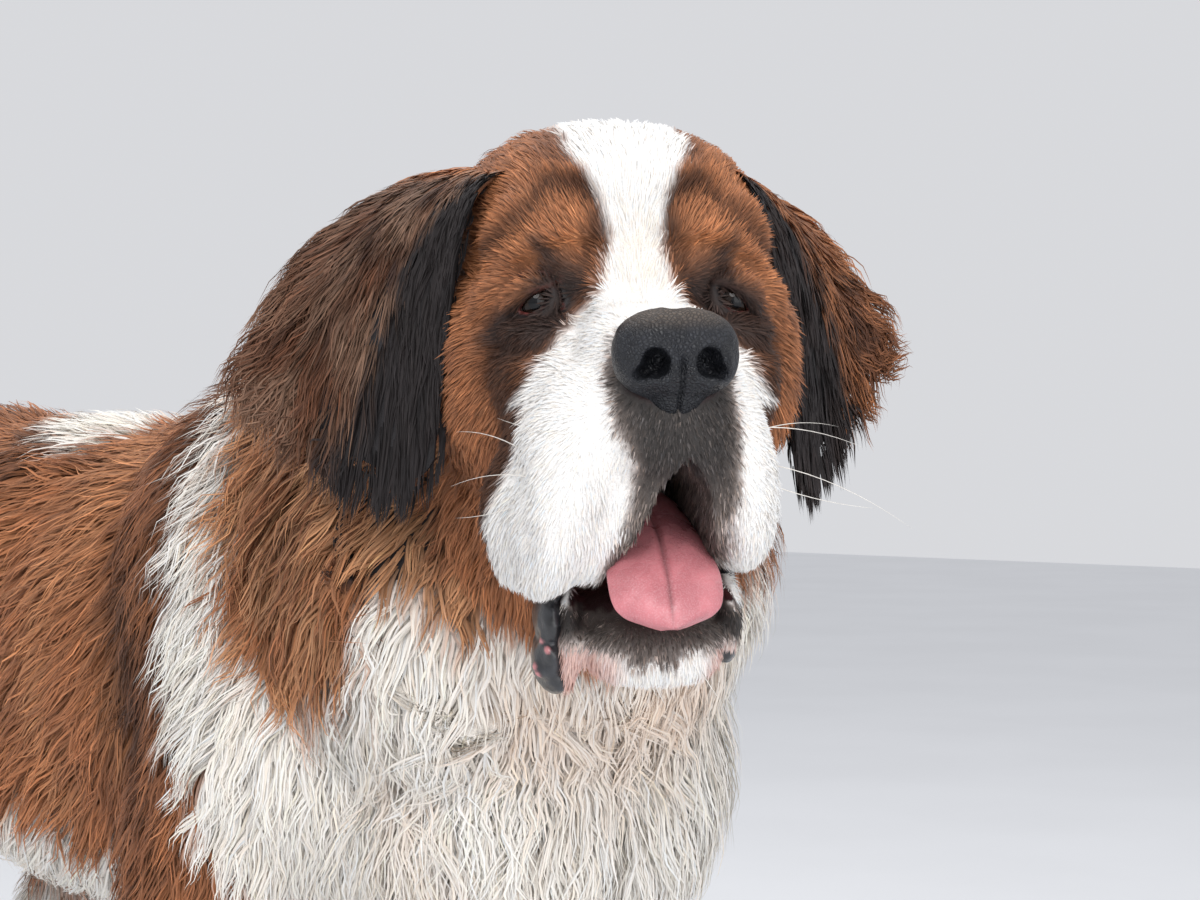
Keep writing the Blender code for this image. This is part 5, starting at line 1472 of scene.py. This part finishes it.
def eye_piece(word, side):
    bpy.ops.object.select_all(action="DESELECT")
    bpy.ops.mesh.primitive_uv_sphere_add(segments=56, ring_count=40, radius=EYE_RADIUS)
    eye = bpy.context.active_object
    eye.name = eye.data.name = "eyeball_" + word
    gaze = Vector((-0.26 if side < 0 else -0.02, -1.0, -0.08)).normalized()
    points = points_of(eye)
    across = unit(points)
    ring = np.arccos(np.clip(across[:, 2], -1, 1))
    bulge = 0.0011 * np.clip(1 - (ring / 0.58) ** 2, 0, 1)
    points = across * (EYE_RADIUS - 0.0001 + bulge)[:, None]
    turn = Vector((0, 0, 1)).rotation_difference(gaze).to_matrix().to_4x4()
    set_points(eye, carried(points, HEAD @ Matrix.Translation(eye_at(side)) @ turn))
    smooth_faces(eye)
    float_attribute(eye, "ring", ring)
    eye.data.materials.append(eye_finish())
    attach(eye, "root")
    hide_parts("eye_" + word)
    return eye


def nose_piece():
    flesh = Flesh(4)
    flesh.ball((0, -0.206, -0.038), (0.0365, 0.024, 0.0265), square=2.5, place=HEAD)
    flesh.ball((0, -0.196, -0.058), (0.020, 0.024, 0.020), square=2.2, place=HEAD)
    nose = flesh.fused("nose_leather", 0.0012, 18)
    holes = Flesh(4)
    for _, side in SIDES:
        holes.ball((side * 0.0158, -0.230, -0.042), (0.0088, 0.021, 0.0098), (0, 0, side * 14), place=HEAD)
        holes.ball((side * 0.0235, -0.227, -0.0480), (0.0075, 0.018, 0.0050), (0, side * 22, side * 20), place=HEAD)
    hole = mesh_from("nostrils", np.concatenate(holes.all_points), np.concatenate(holes.all_faces))
    applied(hole, "REMESH", mode="VOXEL", voxel_size=0.0012)
    joined_by_boolean(nose, [hole], "DIFFERENCE")
    applied(nose, "REMESH", mode="VOXEL", voxel_size=0.0010)
    softened(nose, 5)
    points, normals = points_of(nose), points_of(nose, "normal")
    h = in_head(points)
    push = np.zeros(len(h))
    for _, side in SIDES:
        near = np.hypot(h[:, 0] - side * 0.0160, h[:, 2] + 0.043)
        push += 0.0014 * np.exp(-(((near - 0.0112) / 0.0028) ** 2)) * (h[:, 1] < -0.205)
    push -= 0.0026 * np.exp(-((h[:, 0] / 0.0011) ** 2)) * step(-0.034, -0.044, h[:, 2]) * (h[:, 1] < -0.19)
    push -= 0.0010 * np.exp(-((h[:, 0] / 0.005) ** 2)) * step(-0.050, -0.030, h[:, 2])
    push += noise(h, 0.004, 61) * 0.00025
    set_points(nose, points + normals * push[:, None])
    smooth_faces(nose)
    float_attribute(nose, "crown", step(-0.026, -0.014, h[:, 2]) + 0.0)
    nose.data.materials.clear()
    nose.data.materials.append(nose_finish())
    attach(nose, "root")
    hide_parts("nose")
    return nose


def lips_piece():
    """The black drooping edges of the lower lips, with their soft bumps."""
    flesh = Flesh(4)
    for at, size in LIPS:
        flesh.ball(at, size, place=HEAD)
    lips = flesh.fused("lips", 0.0014, 6)
    points, normals = points_of(lips), points_of(lips, "normal")
    h = in_head(points)
    push, pink = noise(h, 0.006, 71) * 0.0009 + noise(h, 0.014, 72) * 0.0012, np.zeros(len(h))
    for spot in ((-0.0655, -0.125, -0.214), (-0.0628, -0.130, -0.219), (-0.0680, -0.119, -0.230), (-0.0668, -0.121, -0.2345)):
        near = np.exp(-((np.linalg.norm((h - np.array(spot)) * np.array([1, 0.55, 0.75]), axis=1) / 0.0021) ** 2))
        push += 0.0022 * near
        pink = np.maximum(pink, step(0.30, 0.85, near))
    set_points(lips, points + normals * push[:, None])
    smooth_faces(lips)
    float_attribute(lips, "pink", pink)
    lips.data.materials.append(lips_finish())
    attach(lips, "root")
    return lips


TONGUE_STOPS = [
    ((0, -0.045, -0.128), 0.022),
    ((0, -0.090, -0.132), 0.026),
    ((0.001, -0.135, -0.146), 0.029),
    ((-0.001, -0.178, -0.163), 0.0340),
    ((-0.002, -0.199, -0.182), 0.0315),
    ((-0.002, -0.204, -0.197), 0.018),
]


def tongue_piece():
    rows, cols = 44, 45
    top, low, groove = [], [], []
    for k in range(rows):
        share = k / (rows - 1)
        at, half = along(TONGUE_STOPS, share)
        ahead, behind = along(TONGUE_STOPS, min(1, share + 0.02))[0], along(TONGUE_STOPS, max(0, share - 0.02))[0]
        over = Vector((1, 0, 0)).cross((behind - ahead).normalized())
        over = over if over.z > 0 else -over
        half *= min(1.0, math.sqrt(max(0.0, (1.0 - share) * 9 + 0.06)))
        for c in range(cols):
            v = c / (cols - 1) * 2 - 1
            edge = max(0.0, 1 - abs(v) ** 3.2)
            dip = math.exp(-((v / 0.060) ** 2)) * math.sin(math.pi * min(share * 1.06, 1))
            spot = at + Vector((v * half, 0, 0)) - over * (0.006 * v * v)
            swell = math.sin(share * 23 + v * 3) * math.sin(v * 7 + share * 9) * 0.0006
            top.append(HEAD @ (spot + over * (0.005 * edge - 0.0026 * dip - 0.0008 * math.exp(-((v / 0.30) ** 2)) + swell)))
            low.append(HEAD @ (spot - over * (0.005 * edge + 0.0008)))
            # the share of the middle groove, which the tongue finish darkens as painted shade
            groove.append(math.exp(-((v / 0.042) ** 2)) * min(1.0, share * 3, (1 - share) * 5))
    n, faces = rows * cols, []
    for j in range(rows - 1):
        for k in range(cols - 1):
            a = j * cols + k
            faces += [(a, a + 1, a + cols + 1, a + cols), (n + a, n + a + cols, n + a + cols + 1, n + a + 1)]
    rim = [k for k in range(cols)] + [j * cols + cols - 1 for j in range(1, rows)]
    rim += [(rows - 1) * cols + k for k in range(cols - 2, -1, -1)] + [j * cols for j in range(rows - 2, 0, -1)]
    faces += [(a, n + a, n + b, b) for a, b in zip(rim, rim[1:] + rim[:1])]
    tongue = mesh_from("tongue_flesh", top + low, faces)
    chosen(tongue)
    bpy.ops.object.mode_set(mode="EDIT")
    bpy.ops.mesh.select_all(action="SELECT")
    bpy.ops.mesh.normals_make_consistent(inside=False)
    bpy.ops.object.mode_set(mode="OBJECT")
    float_attribute(tongue, "groove", np.array(groove + [0.0] * n))
    applied(tongue, "SUBSURF", levels=1, render_levels=1)
    smooth_faces(tongue)
    tongue.data.materials.append(tongue_finish())
    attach(tongue, "root")
    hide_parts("tongue")
    return tongue


def claws_piece():
    """One claw is modelled, and copied to every toe."""
    stops = [((0, 0.006, 0.0015), 0.0056), ((0, 0, 0), 0.0062), ((0, -0.007, -0.0002), 0.0060), ((0, -0.013, -0.0018), 0.0052), ((0, -0.018, -0.0052), 0.0038), ((0, -0.0215, -0.0095), 0.0020), ((0, -0.0225, -0.0110), 0.0008)]
    claw = tube(stops, 14, Matrix.Identity(4), "claws", flat=1.15)
    shape, faces = points_of(claw), [tuple(p.vertices) for p in claw.data.polygons]
    bpy.data.objects.remove(claw)
    points, all_faces, tips = [], [], []
    names = []
    for at, wide, _ in paws():
        for way in TOE_STEPS:
            root = toe_at(at, wide, way) + Vector((0, -wide * 0.34, 0.004))
            matrix = DOG @ Matrix.Translation(root) @ Matrix.Rotation(math.radians(way * 5), 4, "Z")
            all_faces += [tuple(k + len(shape) * len(points) for k in face) for face in faces]
            points.append(carried(shape, matrix))
            tips.append(step(-0.008, -0.022, shape[:, 1]))
    for kind in ("forepaw", "hindpaw"):
        names += ["claw_%s_%s_%d" % (kind, word, k) for word, _ in SIDES for k in (1, 2, 3, 4)]
    claws = mesh_from("claws", np.concatenate(points), all_faces)
    float_attribute(claws, "tip", np.concatenate(tips))
    applied(claws, "SUBSURF", levels=1, render_levels=1)
    smooth_faces(claws)
    claws.data.materials.append(claw_finish())
    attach(claws, "root")
    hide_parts(*names)
    return claws


WHISKERS = [
    ((-0.062, -0.190, -0.085), (-0.72, 0.62, 0.05), 0.046),
    ((-0.078, -0.170, -0.110), (-0.68, 0.68, 0.10), 0.058),
    ((-0.086, -0.145, -0.095), (-0.66, 0.66, 0.42), 0.054),
    ((-0.088, -0.150, -0.130), (-0.62, 0.66, -0.30), 0.048),
    ((0.062, -0.190, -0.080), (0.9, -0.20, 0.05), 0.062),
    ((0.074, -0.175, -0.105), (0.95, -0.10, -0.20), 0.085),
    ((0.078, -0.160, -0.120), (0.95, 0.10, -0.35), 0.070),
    ((0.070, -0.150, -0.085), (0.9, 0.20, 0.25), 0.055),
    ((-0.030, -0.175, -0.236), (-0.4, -0.45, -0.8), 0.030),
    ((0.028, -0.172, -0.236), (0.4, -0.45, -0.8), 0.028),
    ((-0.050, -0.100, 0.032), (-0.35, -0.60, 0.6), 0.030),
    ((0.050, -0.100, 0.032), (0.35, -0.60, 0.6), 0.030),
]


def whiskers_piece(surface):
    points, faces, tints, patches = [], [], [], []
    for number, (at, way, length) in enumerate(WHISKERS):
        start, _, _, _ = surface.tree.find_nearest(HEAD @ Vector(at))
        home = surface.uv_near(np.array([start]))[0]
        way = (HEAD.to_3x3() @ Vector(way)).normalized()
        sag = Vector((0, 0, -0.25 if number % 3 else 0.12))
        base = len(points)
        for k in range(9):
            s = k / 8
            spot = start - way * 0.002 + way * length * s + sag * length * s * s
            radius = 0.00034 * (1 - s) ** 0.7 + 0.00004
            side = way.orthogonal().normalized()
            for c in range(4):
                angle = math.tau * c / 4
                points.append(spot + (side * math.cos(angle) + way.cross(side) * math.sin(angle)) * radius)
                patches.append(home + np.array([c / 3 - 0.5, s - 0.5]) * 0.003)
                tints.append((0.78, 0.74, 0.68) if number not in (10, 11) else (0.10, 0.07, 0.05))
        for k in range(8):
            for c in range(4):
                d = (c + 1) % 4
                faces.append((base + k * 4 + c, base + k * 4 + d, base + k * 4 + 4 + d, base + k * 4 + 4 + c))
        faces += [tuple(base + c for c in (3, 2, 1, 0)), tuple(base + 32 + c for c in range(4))]
    whiskers = mesh_from("whiskers", points, faces)
    corners = np.array([loop.vertex_index for loop in whiskers.data.loops])
    whiskers.data.uv_layers.new(name="OFBake").data.foreach_set("uv", np.array(patches)[corners].astype(np.float32).ravel())
    colour_attribute(whiskers, np.array(tints))
    smooth_faces(whiskers)
    whiskers.data.materials.append(whisker_finish())
    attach(whiskers, "root")
    return whiskers


def light(name, kind, at, toward, power, size, colour=(1, 1, 1)):
    lamp = bpy.data.lights.new(name, kind)
    lamp.energy, lamp.color = power, colour
    if kind == "AREA":
        lamp.shape, lamp.size = "DISK", size
    obj = linked(name, lamp)
    obj.location = at
    obj.rotation_euler = (Vector(toward) - Vector(at)).to_track_quat("-Z", "Y").to_euler()
    return obj


def stage_pieces():
    settings = bpy.context.scene.saint_bernard_sizes
    bpy.ops.object.select_all(action="DESELECT")
    bpy.ops.mesh.primitive_plane_add(size=24.0, location=(0, 0, 0))
    floor = bpy.context.active_object
    floor.name = floor.data.name = "floor"
    floor.data.materials.append(floor_finish())
    world = bpy.data.worlds.new("studio")
    bpy.context.scene.world = world
    world.use_nodes = True
    sky = world.node_tree.nodes["Background"]
    sky.inputs["Color"].default_value = (0.955, 0.965, 1.0, 1.0)
    sky.inputs["Strength"].default_value = settings.sky
    bpy.context.scene.view_settings.view_transform = "Standard"
    light("soft key", "AREA", (-2.6, -2.6, 3.2), (0, -0.4, 0.6), 165.0 * settings.key, 2.6)
    light("soft fill", "AREA", (-1.0, -3.6, 0.9), (0, -0.3, 0.45), 80.0 * settings.key, 3.0)
    light("soft top", "AREA", (0.4, 0.6, 3.6), (0, 0, 0.6), 90.0 * settings.key, 3.2)
    camera = bpy.data.cameras.new("camera")
    camera.lens, camera.sensor_width = settings.lens * 1000, 36.0
    eye = linked("camera", camera)
    ahead, right = Vector((1, 1, 0)).normalized(), Vector((1, -1, 0)).normalized()
    eye.location = HEAD.translation - ahead * 1.565 - right * 0.007 - Vector((0, 0, 0.109))
    eye.rotation_euler = ahead.to_track_quat("-Z", "Y").to_euler()
    bpy.context.scene.camera = eye


# The add-on


def length_of(name, description, default):
    return bpy.props.FloatProperty(name=name, description=description, default=default, min=0.0, subtype="DISTANCE", unit="LENGTH")


def colour_of(name, description, default):
    return bpy.props.FloatVectorProperty(name=name, description=description, default=default, size=3, min=0.0, max=1.0, subtype="COLOR")


class SaintBernardSizes(bpy.types.PropertyGroup):
    """How the coat and the stage are made"""

    density: bpy.props.FloatProperty(name="Hair density", description="Share of the full number of hairs", default=1.0, min=0.02, max=1.0, subtype="FACTOR")
    seed: bpy.props.IntProperty(name="Seed", description="Start of the random draw of the hairs", default=7)
    lens: length_of("Lens", "Focal length of the camera", 0.072)
    sky: bpy.props.FloatProperty(name="Sky", description="Strength of the light from all round", default=0.72, min=0.0)
    key: bpy.props.FloatProperty(name="Lamps", description="Strength of the soft lamps", default=0.46, min=0.0)


class SaintBernardLooks(bpy.types.PropertyGroup):
    """The colours of the coat and the bare parts"""

    white: colour_of("White", "White of the coat", (0.92, 0.895, 0.865))
    cream: colour_of("Cream", "Cream shade in the white", (0.91, 0.845, 0.765))
    peach: colour_of("Peach", "Peach tint on the chest", (0.88, 0.665, 0.51))
    orange: colour_of("Orange", "Bright brown of the coat", (0.42, 0.165, 0.070))
    brown: colour_of("Brown", "Deep brown of the coat", (0.175, 0.070, 0.036))
    black: colour_of("Black", "Black of the ears and brows", (0.018, 0.016, 0.017))
    nose: colour_of("Nose", "Nose leather", (0.012, 0.013, 0.016))
    tongue: colour_of("Tongue", "Tongue", (0.50, 0.165, 0.185))
    eye: colour_of("Eye", "Iris", (0.007, 0.0035, 0.0022))
    claw: colour_of("Claw", "Claw horn", (0.10, 0.078, 0.064))
    floor: colour_of("Floor", "Studio floor", (0.80, 0.81, 0.83))


def skin_surface():
    skin = bpy.data.objects.get("skin")
    if skin is None:
        raise RuntimeError("make the skin first")
    return skin, Surface(skin)


class SAINTBERNARD_OT_skin(bpy.types.Operator):
    """Models the one skin over head, body, legs, paws and ears"""

    bl_idname = "saint_bernard.skin"
    bl_label = "Skin"

    def execute(self, context):
        skin_piece()
        return {"FINISHED"}


class SAINTBERNARD_OT_eyes(bpy.types.Operator):
    """Models both eyes"""

    bl_idname = "saint_bernard.eyes"
    bl_label = "Eyes"

    def execute(self, context):
        for word, side in SIDES:
            eye_piece(word, side)
        return {"FINISHED"}


class SAINTBERNARD_OT_nose(bpy.types.Operator):
    """Models the nose leather with its nostrils"""

    bl_idname = "saint_bernard.nose"
    bl_label = "Nose"

    def execute(self, context):
        nose_piece()
        return {"FINISHED"}


class SAINTBERNARD_OT_tongue(bpy.types.Operator):
    """Models the tongue"""

    bl_idname = "saint_bernard.tongue"
    bl_label = "Tongue"

    def execute(self, context):
        tongue_piece()
        return {"FINISHED"}


class SAINTBERNARD_OT_lips(bpy.types.Operator):
    """Models the drooping edges of the lower lips"""

    bl_idname = "saint_bernard.lips"
    bl_label = "Lips"

    def execute(self, context):
        lips_piece()
        return {"FINISHED"}


class SAINTBERNARD_OT_claws(bpy.types.Operator):
    """Models the claws of all four paws"""

    bl_idname = "saint_bernard.claws"
    bl_label = "Claws"

    def execute(self, context):
        claws_piece()
        return {"FINISHED"}


class SAINTBERNARD_OT_coat(bpy.types.Operator):
    """Grows the coat over the skin, piece by piece, with the ears and the whiskers"""

    bl_idname = "saint_bernard.coat"
    bl_label = "Coat"

    def execute(self, context):
        settings = context.scene.saint_bernard_sizes
        share = settings.density * 1.0
        skin, surface = skin_surface()
        finish = hair_finish()
        normals = unit(surface.normals[surface.tris].sum(1))
        names, dense = piece_of(surface.middle), grows(surface.middle, normals)
        ear_faces = EAR_START["face"]
        dense[ear_faces:] = 0
        for number, name in enumerate(PIECES):
            draw = np.random.default_rng(settings.seed + number)
            weight = dense * (names == name)
            if not weight.any():
                raise RuntimeError("no skin under " + name)
            grown(name, surface, weight, draw, finish, share)
        for word, side in SIDES:
            grown_ear(word, side, surface, np.random.default_rng(settings.seed + 40 + side), finish, share)
        whiskers_piece(surface)
        return {"FINISHED"}


class SAINTBERNARD_OT_stage(bpy.types.Operator):
    """Sets the floor, the lamps and the camera"""

    bl_idname = "saint_bernard.stage"
    bl_label = "Stage"

    def execute(self, context):
        stage_pieces()
        return {"FINISHED"}


OPERATORS = (SAINTBERNARD_OT_skin, SAINTBERNARD_OT_eyes, SAINTBERNARD_OT_nose, SAINTBERNARD_OT_tongue, SAINTBERNARD_OT_lips, SAINTBERNARD_OT_claws, SAINTBERNARD_OT_coat, SAINTBERNARD_OT_stage)


class SAINTBERNARD_PT_panel(bpy.types.Panel):
    """Lists the pieces and their settings"""

    bl_idname = "SAINTBERNARD_PT_panel"
    bl_label = "Saint Bernard"
    bl_space_type = "VIEW_3D"
    bl_region_type = "UI"
    bl_category = "Saint Bernard"

    def draw(self, context):
        scene = context.scene
        for group in (scene.saint_bernard_sizes, scene.saint_bernard_looks):
            box = self.layout.box()
            for word in group.__annotations__:
                box.prop(group, word)
        for operator in OPERATORS:
            self.layout.operator(operator.bl_idname)


CLASSES = (SaintBernardSizes, SaintBernardLooks, *OPERATORS, SAINTBERNARD_PT_panel)


def register():
    for kind in CLASSES:
        bpy.utils.register_class(kind)
    bpy.types.Scene.saint_bernard_sizes = bpy.props.PointerProperty(type=SaintBernardSizes)
    bpy.types.Scene.saint_bernard_looks = bpy.props.PointerProperty(type=SaintBernardLooks)


def unregister():
    del bpy.types.Scene.saint_bernard_looks
    del bpy.types.Scene.saint_bernard_sizes
    for kind in reversed(CLASSES):
        bpy.utils.unregister_class(kind)


def main():
    register()
    for operator in OPERATORS:
        group, name = operator.bl_idname.split(".")
        started = time.perf_counter()
        getattr(getattr(bpy.ops, group), name)()
        print("MADE", name, round(time.perf_counter() - started, 1), flush=True)


if __name__ == "__main__":
    main()
